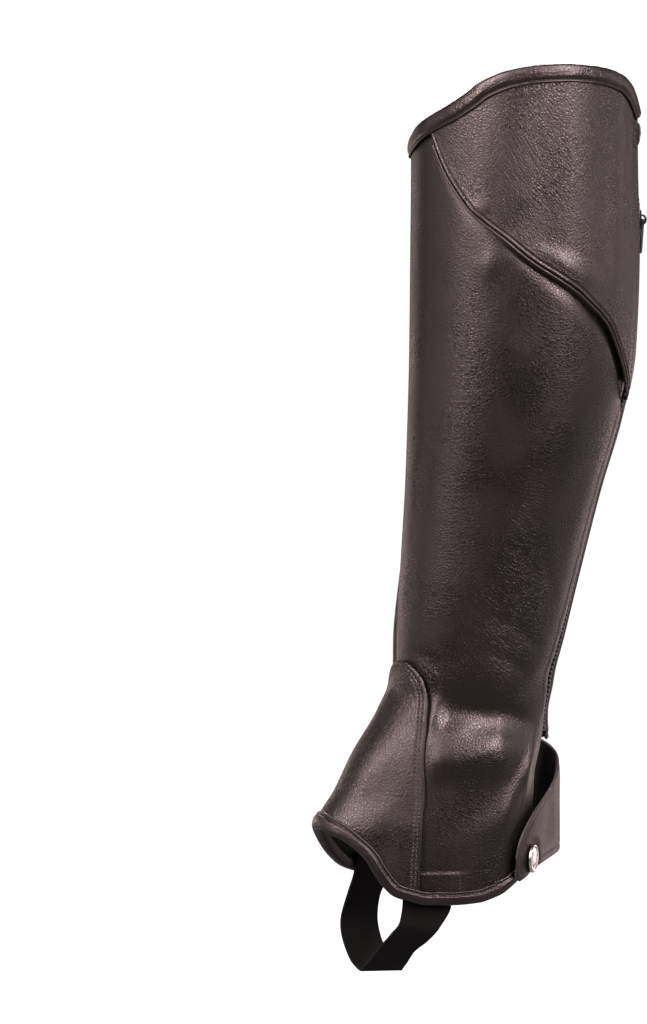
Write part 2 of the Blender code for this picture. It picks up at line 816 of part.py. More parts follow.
def build_slider(collection, cutters):
    """The zip's slider, and its pull tab on the slider's bridge."""
    place = frame_at(ZIP_ANGLE, SLIDER_HEIGHT, SLIDER_LIFT)
    bm = bmesh.new()
    bmesh.ops.create_cube(bm, size=1.0)
    size = Vector((SLIDER_THICK, SLIDER_WIDE, SLIDER_LONG)) * MM
    bmesh.ops.scale(bm, vec=size, verts=bm.verts)
    bmesh.ops.translate(bm, vec=(size.x / 2, 0, 0), verts=bm.verts)
    mesh = bpy.data.meshes.new("zip_slider")
    bm.to_mesh(mesh)
    bm.free()
    slider = add_object("zip_slider", mesh, "zip", collection)
    slider.matrix_world = place
    rounded = slider.modifiers.new("rounded", "BEVEL")
    rounded.width = SLIDER_ROUNDING * MM
    rounded.segments = 2

    arch = arc(BRIDGE_OUTER, 90, -90, ROUND_STEPS)
    arch = [(x + SLIDER_THICK, y) for x, y in arch]
    hole = [(x + SLIDER_THICK, y) for x, y in arc(BRIDGE_INNER, -90, 90, ROUND_STEPS)]
    outline = [(BRIDGE_FOOT, BRIDGE_OUTER)] + arch + [(BRIDGE_FOOT, -BRIDGE_OUTER)]
    outline += [(BRIDGE_FOOT, -BRIDGE_INNER)] + hole + [(BRIDGE_FOOT, BRIDGE_INNER)]
    bridge = bpy.data.objects.new("bridge", flat_curve("bridge", [outline], BRIDGE_WIDE))
    cutters.objects.link(bridge)
    solid = bpy.data.objects.new("bridge_solid", bpy.data.meshes.new_from_object(bridge))
    bpy.data.objects.remove(bridge, do_unlink=True)
    cutters.objects.link(solid)
    weld_mesh(solid.data)
    solid.matrix_world = place @ Matrix.Rotation(math.radians(90), 4, "X")
    solid.hide_render = True
    solid.display_type = "WIRE"
    union = slider.modifiers.new("bridge", "BOOLEAN")
    union.operation = "UNION"
    union.solver = "EXACT"
    union.object = solid

    hinge = bpy.data.objects.new("zip_pull_hinge", None)
    collection.objects.link(hinge)
    pivot = Matrix.Translation(Vector((SLIDER_THICK + PIVOT_LIFT, 0, 0)) * MM)
    hinge.matrix_world = place @ pivot @ Matrix.Rotation(math.radians(PULL_LEAN), 4, "Y")
    half = PULL_WIDE / 2
    low = -PULL_LENGTH + half
    outline = [(-half, PULL_BAR), *arc(half, 180, 360, ROUND_STEPS, (0.0, low)), (half, PULL_BAR)]
    gap = PULL_HOLE_WIDE / 2
    hole = [(-gap, -PULL_BAR), (gap, -PULL_BAR), (gap, -PULL_HOLE_LOW), (-gap, -PULL_HOLE_LOW)]
    curve = flat_curve("zip_pull", [outline, hole], PULL_THICK)
    flat = bpy.data.objects.new("flat", curve)
    cutters.objects.link(flat)
    mesh = bpy.data.meshes.new_from_object(flat)
    mesh.name = "zip_pull"
    bpy.data.objects.remove(flat, do_unlink=True)
    weld_mesh(mesh)
    mesh.transform(Matrix(((0, 0, 1, 0), (1, 0, 0, 0), (0, 1, 0, 0), (0, 0, 0, 1))))
    pull = add_object("zip_pull", mesh, "zip", collection)
    pull.parent = hinge


def weld_mesh(mesh):
    """Joins the caps of a filled curve to its sides."""
    bm = bmesh.new()
    bm.from_mesh(mesh)
    bmesh.ops.remove_doubles(bm, verts=bm.verts, dist=0.001 * MM)
    bmesh.ops.recalc_face_normals(bm, faces=bm.faces)
    bm.to_mesh(mesh)
    bm.free()


def build_flap(collection):
    """The flap round the heel, and the snap that fastens its tip."""
    rows = np.array(FLAP, float)
    spread = np.linspace(0, len(rows) - 1, FLAP_GRID[0] + 1)
    angles = np.interp(spread, np.arange(len(rows)), rows[:, 0])
    low, high, stand = (
        column(FLAP_COLUMNS, FLAP, name, "angle", angles) for name in FLAP_COLUMNS[1:]
    )
    up = np.linspace(0, 1, FLAP_GRID[1] + 1)[:, None]
    heights = low * (1 - up) + high * up
    points = on_leg(np.broadcast_to(angles, heights.shape), heights, stand + 0 * heights)
    add_sheet("heel_flap", points, FLAP_THICK, "leather", collection)

    stand = float(column(FLAP_COLUMNS, FLAP, "stand", "angle", SNAP_ANGLE))
    place = frame_at(SNAP_ANGLE, SNAP_HEIGHT, stand + FLAP_THICK + LAP_GAP)
    bm = bmesh.new()
    verts = [bm.verts.new((lift * MM, radius * MM, 0)) for radius, lift in SNAP_PROFILE]
    edges = [bm.edges.new(pair) for pair in zip(verts, verts[1:])]
    bmesh.ops.spin(
        bm,
        geom=verts + edges,
        cent=(0, 0, 0),
        axis=(1, 0, 0),
        angle=math.tau,
        steps=SNAP_STEPS,
        use_merge=True,
    )
    bmesh.ops.remove_doubles(bm, verts=bm.verts, dist=0.01 * MM)
    bmesh.ops.recalc_face_normals(bm, faces=bm.faces)
    mesh = bpy.data.meshes.new("snap_cap")
    bm.to_mesh(mesh)
    bm.free()
    shade(mesh, SHARP_FROM)
    cap = add_object("snap_cap", mesh, "steel", collection)
    cap.matrix_world = place


def build_strap(collection):
    """The elastic strap that passes under the foot."""
    rows = np.array(STRAP, float)
    spread = np.linspace(0, len(rows) - 1, STRAP_GRID[0] + 1)
    lines = [
        smooth_line(np.stack([np.arange(len(rows)), rows[:, i]], axis=1), spread)
        for i in range(rows.shape[1])
    ]
    front = np.stack(lines[:3], axis=-1)
    back = np.stack(lines[3:], axis=-1)
    across = np.linspace(0, 1, STRAP_GRID[1] + 1)[:, None, None]
    points = front * (1 - across) + back * across
    obj = add_sheet("foot_strap", points, STRAP_THICK, "elastic", collection)
    obj.modifiers["wall"].offset = 0.0


def main():
    """Builds the chap."""
    for old in list(bpy.data.objects):
        bpy.data.objects.remove(old, do_unlink=True)
    collection = bpy.data.collections.new("half_chap")
    cutters = bpy.data.collections.new("cutters")
    cutters.hide_render = True
    for made in (collection, cutters):
        bpy.context.scene.collection.children.link(made)
    build_panels(collection)
    build_edges(collection)
    build_zip(collection)
    build_slider(collection, cutters)
    build_flap(collection)
    build_strap(collection)


main()
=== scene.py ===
"""A left half chap of brown leather, standing filled out as on a leg.

Sizes are millimetres unless a name says otherwise, and become metres as each mesh is made. -X is
the toe side, +X the heel side, -Y the outer side and +Z up. An angle of 0 is the front of the
leg, 90 its outer side, 180 its back and -90 its inner side. A height is taken from the sole line,
which is CALF_HEIGHT below the origin.
"""

import logging
import math
import sys
from collections.abc import Callable, Sequence
from dataclasses import dataclass, field
from enum import Enum, IntEnum
from functools import cache, cached_property, partial

import bmesh
import bpy
import numpy as np
from mathutils import Matrix, Vector


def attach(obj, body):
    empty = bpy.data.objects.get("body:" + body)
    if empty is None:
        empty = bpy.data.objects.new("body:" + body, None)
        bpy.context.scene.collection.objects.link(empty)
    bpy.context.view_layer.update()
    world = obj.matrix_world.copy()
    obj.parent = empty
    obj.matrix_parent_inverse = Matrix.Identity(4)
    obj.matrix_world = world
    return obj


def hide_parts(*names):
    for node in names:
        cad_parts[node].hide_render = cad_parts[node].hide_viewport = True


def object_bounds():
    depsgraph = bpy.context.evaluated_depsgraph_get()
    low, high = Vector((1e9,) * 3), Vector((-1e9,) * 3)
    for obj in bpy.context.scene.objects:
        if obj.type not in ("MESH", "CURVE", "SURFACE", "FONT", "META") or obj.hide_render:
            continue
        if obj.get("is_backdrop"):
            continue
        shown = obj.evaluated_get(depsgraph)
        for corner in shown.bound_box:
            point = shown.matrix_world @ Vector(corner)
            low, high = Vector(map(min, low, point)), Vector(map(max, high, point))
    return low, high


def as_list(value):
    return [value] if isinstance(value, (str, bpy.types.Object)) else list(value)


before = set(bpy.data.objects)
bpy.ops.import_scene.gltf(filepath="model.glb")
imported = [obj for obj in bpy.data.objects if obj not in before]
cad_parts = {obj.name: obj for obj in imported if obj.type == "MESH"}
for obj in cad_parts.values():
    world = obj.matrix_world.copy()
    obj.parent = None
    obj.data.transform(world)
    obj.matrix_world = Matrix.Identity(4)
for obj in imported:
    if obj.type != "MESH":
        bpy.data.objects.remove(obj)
CAD_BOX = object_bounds()

LOG = logging.getLogger("half_chap")
Array = np.ndarray
Numbers = np.ndarray | float
Colour = tuple[float, float, float]
Pairs = tuple[tuple[float, float], ...]
LineOf = Callable[[Array], Array]
Socket = bpy.types.NodeSocket
Material = bpy.types.Material
Mesh = bpy.types.Mesh
Object = bpy.types.Object
BMesh = bmesh.types.BMesh

MM = 0.001
CALF_HEIGHT = 305.0
HALF = 0.5


class Body(Enum):
    """The frame's bodies."""

    CHAP = "chap"
    PULL = "pull"


class Slot(Enum):
    """The record's material slots."""

    LEATHER = "leather"
    INNER = "inner_leather"
    BINDING = "binding"
    FABRIC = "fabric"
    ELASTIC = "elastic"
    ZIP = "zip"
    STEEL = "steel"


class Edge(Enum):
    """The sides of a piece's grid."""

    FIRST = "first"
    LAST = "last"
    LOW = "low"
    HIGH = "high"


class Hand(IntEnum):
    """The sides of a line that is followed along the leather, seen from outside."""

    LEFT = 1
    RIGHT = -1


class ZipSide(IntEnum):
    """The sides of the zip, each as a factor for a distance round the leg."""

    OUTER = -1
    INNER = 1

    @property
    def word(self) -> str:
        """The side's word in names."""
        return self.name.lower()


# --- lines and the leg's form


@dataclass(frozen=True)
class Line:
    """A smooth line through pairs of a place and a value, level past its ends."""

    pairs: Pairs

    @cached_property
    def table(self) -> tuple[Array, Array, Array, Array]:
        """The line's places, values, steps and slopes.

        Returns:
            The places, their values, the steps between them, and the slope at each place, which
            is level where the line turns back.
        """
        xs, ys = np.array(self.pairs, float).T
        steps = np.diff(xs)
        rises = np.diff(ys) / steps
        slopes = np.zeros(len(xs))
        slopes[0] = rises[0]
        slopes[-1] = rises[-1]
        for i in range(1, len(xs) - 1):
            if rises[i - 1] * rises[i] > 0:
                before = 2 * steps[i] + steps[i - 1]
                after = steps[i] + 2 * steps[i - 1]
                slopes[i] = (before + after) / (before / rises[i - 1] + after / rises[i])
        return xs, ys, steps, slopes

    def __call__(self, places: Numbers) -> Array:
        """The line's value at each place.

        Args:
            places: Places along the line.

        Returns:
            The values, in the shape of places.
        """
        xs, ys, steps, slopes = self.table
        at = np.clip(np.asarray(places, float), xs[0], xs[-1])
        k = np.clip(np.searchsorted(xs, at) - 1, 0, len(xs) - 2)
        t = (at - xs[k]) / steps[k]
        return (
            (2 * t**3 - 3 * t**2 + 1) * ys[k]
            + (t**3 - 2 * t**2 + t) * steps[k] * slopes[k]
            + (3 * t**2 - 2 * t**3) * ys[k + 1]
            + (t**3 - t**2) * steps[k] * slopes[k + 1]
        )


def soft_step(values: Numbers) -> Array:
    """0 below 0, 1 above 1 and a smooth rise between."""
    t = np.clip(values, 0, 1)
    return t * t * (3 - 2 * t)


def paired(angle: Numbers, height: Numbers) -> tuple[Array, Array]:
    """Angles and heights as arrays of one shape."""
    return np.broadcast_arrays(np.asarray(angle, float), np.asarray(height, float))


@dataclass(frozen=True)
class Section:
    """One level of the leg: nose narrows its front and pinch its back."""

    height: float
    front: float
    back: float
    half_width: float
    nose: float
    pinch: float


@dataclass(frozen=True)
class Fold:
    """A soft trough or ridge: a trough has a negative depth, and slope turns its length upwards."""

    angle: float
    height: float
    half_length: float
    half_breadth: float
    slope: float
    depth: float


def folds(*rows: tuple[float, ...]) -> tuple[Fold, ...]:
    """Folds from rows of their values."""
    return tuple(Fold(*row) for row in rows)


SECTIONS = tuple(Section(*row) for row in (
    (-20, -113.5, 12, 41.5, 0.26, 0.56), (20, -113, 12.3, 42, 0.26, 0.56),
    (45, -110.5, 12.6, 41.5, 0.27, 0.56), (62, -100, 12.5, 40.5, 0.25, 0.50),
    (80, -90.3, 10.3, 38.5, 0.22, 0.28), (100, -76.4, 8.8, 37, 0.17, 0.08),
    (115, -69.2, 11.3, 36.5, 0.12, 0.02), (145, -67.4, 18.6, 38, 0.08, 0.00),
    (180, -64, 27.4, 41, 0.07, 0.00), (215, -61.7, 36.6, 45, 0.07, 0.00),
    (250, -60, 47.2, 49.5, 0.06, 0.00), (285, -58.8, 54.2, 52.5, 0.05, 0.00),
    (330, -58.2, 55.6, 53.5, 0.04, 0.00), (380, -57.7, 53.8, 53.5, 0.03, 0.00),
    (440, -58, 52.6, 53, 0.03, 0.00),
))
MAIN_FOLDS = folds(
    (70, 104, 30, 9, -4, -3.2), (74, 84, 26, 10, 6, 1.8), (104, 70, 34, 6, 58, 2.4),
    (92, 62, 26, 8, 64, -1.8), (-62, 106, 30, 9, 6, -2.6), (-70, 86, 26, 10, -4, 1.6),
    (124, 118, 20, 8, 18, -1.4), (76, 345, 46, 12, 84, -1.6), (50, 330, 8, 5, 60, 1.2),
    (86, 326, 16, 6, -20, 1.4), (-100, 250, 60, 14, 78, -1.5), (-58, 180, 50, 12, 80, -1.2),
)


@dataclass
class LegForm:
    """The form of the leg that the leather stands round, whose folds keep clear of the vamp."""

    sections: tuple[Section, ...] = SECTIONS
    folds: tuple[Fold, ...] = MAIN_FOLDS
    pinch_power: float = 1.5
    widest_from_back: float = 1.06
    widest_from_middle: float = 22.0
    clear_beside: tuple[float, float] = (-3.0, 10.0)
    clear_above: tuple[float, float] = (120.0, 16.0)
    vamp_edge: Line = Line((
        (10, 61), (20, 61), (43, 61), (58, 58.5), (73.5, 55), (97, 46.2), (108, 40.5),
    ))
    vamp_lean: Line = Line(((20, 0), (60, 0), (85, 2.5), (108, 7.5), (130, 7.5)))

    @cached_property
    def lines(self) -> dict[str, Line]:
        """Each column of the section table as a line over height."""
        columns = ("front", "back", "half_width", "nose", "pinch")
        return {
            name: Line(tuple((row.height, getattr(row, name)) for row in self.sections))
            for name in columns
        }

    def plain(self, angle: Numbers, height: Numbers) -> Array:
        """Points of the form before its folds.

        Args:
            angle, height: The places.

        Returns:
            Points in millimetres whose height is taken from the sole line.
        """
        angle, height = paired(angle, height)
        turn = np.radians(angle)
        front = self.lines["front"](height)
        back = self.lines["back"](height)
        half = self.lines["half_width"](height)
        middle = (front + back) / 2
        widest = back - half * self.widest_from_back
        widest = np.clip(widest, middle, middle + self.widest_from_middle)
        ahead = np.cos(turn)
        reach = np.where(ahead > 0, widest - front, back - widest)
        side = 1 - self.lines["nose"](height) * np.maximum(ahead, 0)
        side *= 1 - self.lines["pinch"](height) * np.maximum(-ahead, 0) ** self.pinch_power
        return np.stack([widest - reach * ahead, -half * np.sin(turn) * side, height], axis=-1)

    def one_round(self, angle: Numbers, height: Numbers) -> Array:
        """How a point moves with one degree further round."""
        return self.plain(angle + HALF, height) - self.plain(angle - HALF, height)

    def one_up(self, angle: Numbers, height: Numbers) -> Array:
        """How a point moves with one millimetre further up."""
        return self.plain(angle, height + HALF) - self.plain(angle, height - HALF)

    def normal(self, angle: Numbers, height: Numbers) -> Array:
        """Outward unit normals of the form before its folds."""
        found = np.cross(self.one_round(angle, height), self.one_up(angle, height))
        return found / np.linalg.norm(found, axis=-1, keepdims=True)

    def fold_depth(self, angle: Array, height: Array, folds: Sequence[Fold]) -> Array:
        """How far some folds move the leather outwards.

        Args:
            angle, height: The places.
            folds: The folds.

        Returns:
            Distances in millimetres.
        """
        total = np.zeros(np.broadcast(angle, height).shape)
        for fold in folds:
            per_degree = math.radians(1) * float(self.lines["half_width"](fold.height))
            across = ((angle - fold.angle + 180) % 360 - 180) * per_degree
            up = height - fold.height
            slope = math.radians(fold.slope)
            along = across * math.cos(slope) + up * math.sin(slope)
            beside = up * math.cos(slope) - across * math.sin(slope)
            total += fold.depth * np.exp(
                -((along / fold.half_length) ** 2) - (beside / fold.half_breadth) ** 2
            )
        return total

    def main_folds(self, angle: Numbers, height: Numbers) -> Array:
        """The largest folds, which stay clear of the vamp.

        Args:
            angle, height: The places.

        Returns:
            Distances outwards in millimetres.
        """
        angle, height = paired(angle, height)
        past = np.abs(angle - self.vamp_lean(height)) - self.vamp_edge(height)
        beside, ease = self.clear_beside
        above, rise = self.clear_above
        clear = np.maximum(soft_step((past - beside) / ease), soft_step((height - above) / rise))
        return self.fold_depth(angle, height, self.folds) * clear

    def place(self, angle: Numbers, height: Numbers, out: Numbers) -> Array:
        """Points in millimetres that stand out from the leather's inner face."""
        lift = np.asarray(out, float) + self.main_folds(angle, height)
        return self.plain(angle, height) + self.normal(angle, height) * lift[..., None]

    def aside(self, angle: Numbers, height: Numbers, distance: Numbers) -> Array:
        """The angle that is a distance in millimetres further round."""
        return angle + distance / np.linalg.norm(self.one_round(angle, height), axis=-1)

    def inset(
        self, angles: Array, heights: Array, distance: Numbers, hand: Hand
    ) -> tuple[Array, Array]:
        """A line beside another on the form.

        Args:
            angles, heights: The line's places.
            distance: How far beside it.
            hand: On which side of it.

        Returns:
            Angles and heights of the new line.
        """
        points = self.plain(angles, heights)
        normals = self.normal(angles, heights)
        tangents = np.gradient(points, axis=0)
        direction = np.cross(normals, tangents) * int(hand)
        direction /= np.linalg.norm(direction, axis=1, keepdims=True)
        steps = [self.one_round(angles, heights), self.one_up(angles, heights)]
        step = np.linalg.pinv(np.stack(steps, axis=2)) @ direction[:, :, None]
        return angles + step[:, 0, 0] * distance, heights + step[:, 1, 0] * distance

    def lengths(self, angles: Array, heights: Array) -> Array:
        """How far along a line each of its points lies."""
        steps = np.linalg.norm(np.diff(self.plain(angles, heights), axis=0), axis=1)
        return np.concatenate([[0], np.cumsum(steps)])

    def even(self, angles: Array, heights: Array, pitch: float) -> tuple[Array, Array]:
        """A line's points spaced evenly by length.

        Args:
            angles, heights: The line's places.
            pitch: The spacing, in millimetres.

        Returns:
            Angles and heights of the even points.
        """
        lengths = self.lengths(angles, heights)
        wanted = np.linspace(0, lengths[-1], max(2, round(lengths[-1] / pitch)) + 1)
        return np.interp(wanted, lengths, angles), np.interp(wanted, lengths, heights)

    def shared(self, angles: Array, heights: Array, shares: Array) -> Array:
        """A line's points at some shares of its length.

        Args:
            angles, heights: The line's places.
            shares: Shares of its length, from 0 to 1.

        Returns:
            Rows of angle and height.
        """
        lengths = self.lengths(angles, heights)
        wanted = shares * lengths[-1]
        found = [np.interp(wanted, lengths, angles), np.interp(wanted, lengths, heights)]
        return np.stack(found, axis=-1)


LEG = LegForm()


def in_metres(points: Array) -> Array:
    """World points in metres of millimetre points whose height is taken from the sole line."""
    return (np.asarray(points, float) - (0.0, 0.0, CALF_HEIGHT)) * MM


# --- the pattern's lines


@dataclass
class Pattern:
    """The chap's edges and seams, as angle at a height or height at an angle, and its layers."""

    panel: float = 1.6
    overlay: float = 1.4
    vamp: float = 1.4
    lapped: float = 2.1
    vamp_lift: float = 2.4
    seam_gap: float = 0.3
    zip_angle: float = 145.5
    zip_half_gap: float = 3.4
    heel_opening_top: float = 112.0
    overlay_front: float = 12.0
    lap_from: float = 14.0
    lap_turn: float = 5.0
    lap_rise: float = 3.6
    arch_end: float = -105.0
    hem: Line = Line((
        (-118, 31), (-112, 27), (-105, 23.6), (-95, 20.5), (-85, 16), (-72, 13.6), (-60, 15),
        (-52, 18), (-46, 21), (-40, 25.5), (-34, 30.5), (-28, 35.5), (-20, 41), (-10, 45.5),
        (2, 47.2), (12, 46.2), (23, 44.2), (32, 40), (39, 34), (43.5, 27), (47.5, 20.8),
        (51.5, 16.6), (57, 14.4), (63, 12.5), (72.5, 11.8), (82.5, 12.7), (87, 14.6), (92, 17.3),
        (101, 21), (107, 23.4), (114, 25.5), (122, 30),
    ))
    top: Line = Line((
        (-214, 398.5), (-205, 396.5), (-190, 392.5), (-170, 389.5), (-130, 387.5), (-90, 386.5),
        (-50, 386.5), (-25, 387.5), (-13, 390.5), (8, 398), (18, 402), (27, 405.5), (38, 411.5),
        (45, 416.5), (50, 419), (59, 422.3), (75, 425), (88, 425.5), (103, 424.5), (120, 421),
        (130, 416), (136, 410.5), (140, 406), (143, 402.5),
    ))
    heel_arch: Line = Line((
        (-214, 86), (-195, 86), (-180, 84), (-165, 80.5), (-150, 74), (-136, 65), (-127, 55),
        (-121, 45), (-117, 35.5), (-113, 28.5), (-108, 24.9), (-105, 23.6),
    ))
    overlay_seam: Line = Line((
        (10, 401.5), (15.5, 391), (20, 383), (25.2, 374.5), (33, 364.3), (39.3, 357.1),
        (46.7, 350.7), (58, 342.2), (70.5, 331.8), (82.5, 323.8), (92.8, 316.7), (101.3, 309.6),
        (107.6, 304.3), (113.8, 297.6), (120, 288), (125.6, 280), (132.5, 271), (139, 263.5),
        (143, 258),
    ))
    front_seam: Line = Line((
        (10, -5), (60, -6), (100, -9), (133, -12), (150, -14), (170, -22), (210, -31), (260, -38),
        (440, -40),
    ))
    outer_back_edge: Line = Line((
        (10, 112), (25, 117), (32, 121), (40, 122), (50, 120.4), (58, 120), (66, 120.2),
        (72.5, 121), (78, 123.4), (84, 128.5), (90, 134.5), (96, 139), (104, 140.8), (112, 141.5),
    ))
    vamp_top: Line = Line((
        (-26, 105), (-22.5, 112), (-18, 117.5), (-11, 123.5), (-3, 127.5), (6, 129.7), (14, 129.6),
        (20, 128.3), (23.5, 126.8), (31.5, 121.5), (35.5, 116), (38.3, 111.5), (42, 105),
    ))
    zip_opening: Line = Line(((60, 0.0), (345, 0.0), (356, 0.3), (400, 4.6)))

    def outer_top(self, angle: Array) -> Array:
        """Top of the outer panel: the chap's top line, then a lap under the overlay."""
        under = self.overlay_seam(angle - self.lap_turn) + self.lap_rise
        return np.where(angle < self.lap_from, self.top(angle), np.minimum(self.top(angle), under))

    def outer_back(self, height: Numbers) -> Array:
        """Angle of the outer panel's back edge, along the zip and round the heel opening.

        Args:
            height: Heights.

        Returns:
            The angles.
        """
        at_zip = LEG.aside(self.zip_angle, height, -self.zip_half_gap)
        at_heel = np.minimum(self.outer_back_edge(height), at_zip)
        return np.where(np.asarray(height) < self.heel_opening_top, at_heel, at_zip)

    def opening(self, height: Numbers, side: ZipSide) -> Array:
        """How far the zip has drawn apart above its slider, on the inner side alone."""
        return self.zip_opening(height) * (side is ZipSide.INNER)

    def inner_back(self, height: Numbers) -> Array:
        """Angle of the inner panel's back edge, counted the long way round."""
        gap = self.zip_half_gap + self.opening(height, ZipSide.INNER)
        return LEG.aside(self.zip_angle, height, gap) - 360.0

    def inner_front(self, height: Numbers) -> Array:
        """Angle of the inner panel's front edge, beside the outer panel's."""
        return LEG.aside(self.front_seam(height), height, -self.seam_gap)

    def inner_low(self, angle: Array) -> Array:
        """Lower edge of the inner panel: the arch over the heel, then the hem."""
        return np.where(angle < self.arch_end, self.heel_arch(angle), self.hem(angle))

    def vamp_side(self, side: int, height: Numbers) -> Array:
        """Angle of the vamp's edge on the outer side for 1, and on the inner side for -1."""
        lean = LEG.vamp_lean(height)
        return lean + side * (LEG.vamp_edge(height) - lean)

    def top_end(self, side: ZipSide) -> float:
        """Angle where the leather on a side of the zip meets the top line."""
        return float(self.outer_back(407.0) if side is ZipSide.OUTER else self.inner_back(400.0))

    def zip_line(self, side: ZipSide, height: Numbers, distance: float) -> Array:
        """Angle of a line along the zip, at a distance from its middle on one side."""
        reach = self.opening(height, side) + self.seam_gap / 2 + distance
        return LEG.aside(self.zip_angle, height, side * reach)


PATTERN = Pattern()


# --- node benches and finishes


class Bench:
    """One material's nodes, with short ways to add and join them."""

    def __init__(self, name: str) -> None:
        """Starts a material with its Principled shader.

        Args:
            name: The material's name.
        """
        self.material = bpy.data.materials.new(name)
        self.material.use_nodes = True
        self.nodes = self.material.node_tree.nodes
        self.links = self.material.node_tree.links
        self.shader = self.nodes["Principled BSDF"]

    def feed(self, node: bpy.types.Node, values: dict[int | str, object]) -> None:
        """Sets or joins a node's inputs.

        Args:
            node: The node.
            values: Input name or index, to a value or to the output that feeds it.
        """
        for key, value in values.items():
            if isinstance(value, bpy.types.NodeSocket):
                self.links.new(value, node.inputs[key])
            else:
                node.inputs[key].default_value = value

    def add(
        self, kind: str, values: dict[int | str, object], output: int | str = 0, **settings: object
    ) -> Socket:
        """Adds a node and returns one of its outputs.

        Args:
            kind: The node's type name.
            values: Its inputs, as feed takes them.
            output: The output to return.
            **settings: The node's own properties.

        Returns:
            The output socket.
        """
        node = self.nodes.new(kind)
        for key, value in settings.items():
            setattr(node, key, value)
        self.feed(node, values)
        return node.outputs[output]

    def places(self) -> Socket:
        """Object coordinates, in metres."""
        return self.add("ShaderNodeTexCoord", {}, "Object")

    def chart(self, stretch: tuple[float, float] = (1.0, 1.0), turn: float = 0.0) -> Socket:
        """The piece's own map, where 1 is 100 mm.

        Args:
            stretch: How many times the map is denser across and along.
            turn: Its turn in degrees.

        Returns:
            The map's places.
        """
        flat = self.add("ShaderNodeUVMap", {}, uv_map="cut")
        size = (1.0 / stretch[0], 1.0 / stretch[1], 1.0)
        values = {"Vector": flat, "Scale": size, "Rotation": (0.0, 0.0, math.radians(turn))}
        return self.add("ShaderNodeMapping", values, vector_type="TEXTURE")

    def mark(self, name: str) -> Socket:
        """A number painted on the piece's points."""
        return self.add("ShaderNodeAttribute", {}, "Fac", attribute_name=name)

    def noise(
        self, vector: Socket, scale: float, detail: float = 2.0, rough: float = 0.5,
        output: int | str = 0,
    ) -> Socket:
        """Noise from 0 to 1."""
        values = {"Vector": vector, "Scale": scale, "Detail": detail, "Roughness": rough}
        return self.add("ShaderNodeTexNoise", values, output)

    def cells(self, vector: Socket, scale: float) -> Socket:
        """The distance of each place from the edge of its cell."""
        values = {"Vector": vector, "Scale": scale, "Randomness": 1.0}
        return self.add("ShaderNodeTexVoronoi", values, feature="DISTANCE_TO_EDGE")

    def sum(self, kind: str, first: object, second: object = 0.0) -> Socket:
        """One operation of the Math node."""
        return self.add("ShaderNodeMath", {0: first, 1: second}, operation=kind)

    def span(
        self, value: object, low: float, high: float, to_low: float = 0.0, to_high: float = 1.0
    ) -> Socket:
        """A value's range moved to another with a soft start and end."""
        values = dict(zip(range(5), (value, low, high, to_low, to_high)))
        return self.add("ShaderNodeMapRange", values, interpolation_type="SMOOTHSTEP")

    def blend(self, share: object, first: Socket | Colour, second: Colour) -> Socket:
        """A mix of two colours."""
        ends = [opaque(end) if isinstance(end, tuple) else end for end in (first, second)]
        return self.add("ShaderNodeMix", {0: share, 6: ends[0], 7: ends[1]}, 2, data_type="RGBA")

    def bump(self, height: object, millimetres: float, under: Socket | None = None) -> Socket:
        """A bump over another bump.

        Args:
            height: Its height, where 0 is low and 1 is high.
            millimetres: How much a height of 1 is.
            under: The bump below it.

        Returns:
            The bent normal.
        """
        values = {"Height": height, "Strength": 1.0, "Distance": millimetres * MM}
        if under is not None:
            values["Normal"] = under
        return self.add("ShaderNodeBump", values)

    def finish(self, **inputs: object) -> Material:
        """Feeds the shader, with _ in a name for each space, and returns the material."""
        self.feed(self.shader, {key.replace("_", " "): value for key, value in inputs.items()})
        return self.material


def opaque(colour: Colour) -> tuple[float, float, float, float]:
    """The colour with full alpha."""
    return (*colour, 1.0)


def times(colour: Colour, share: float, lift: float = 0.0) -> Colour:
    """The colour made brighter or darker, then lifted."""
    return tuple(c * share + lift for c in colour)


WARM_GLOSS = (1.0, 0.86, 0.855)


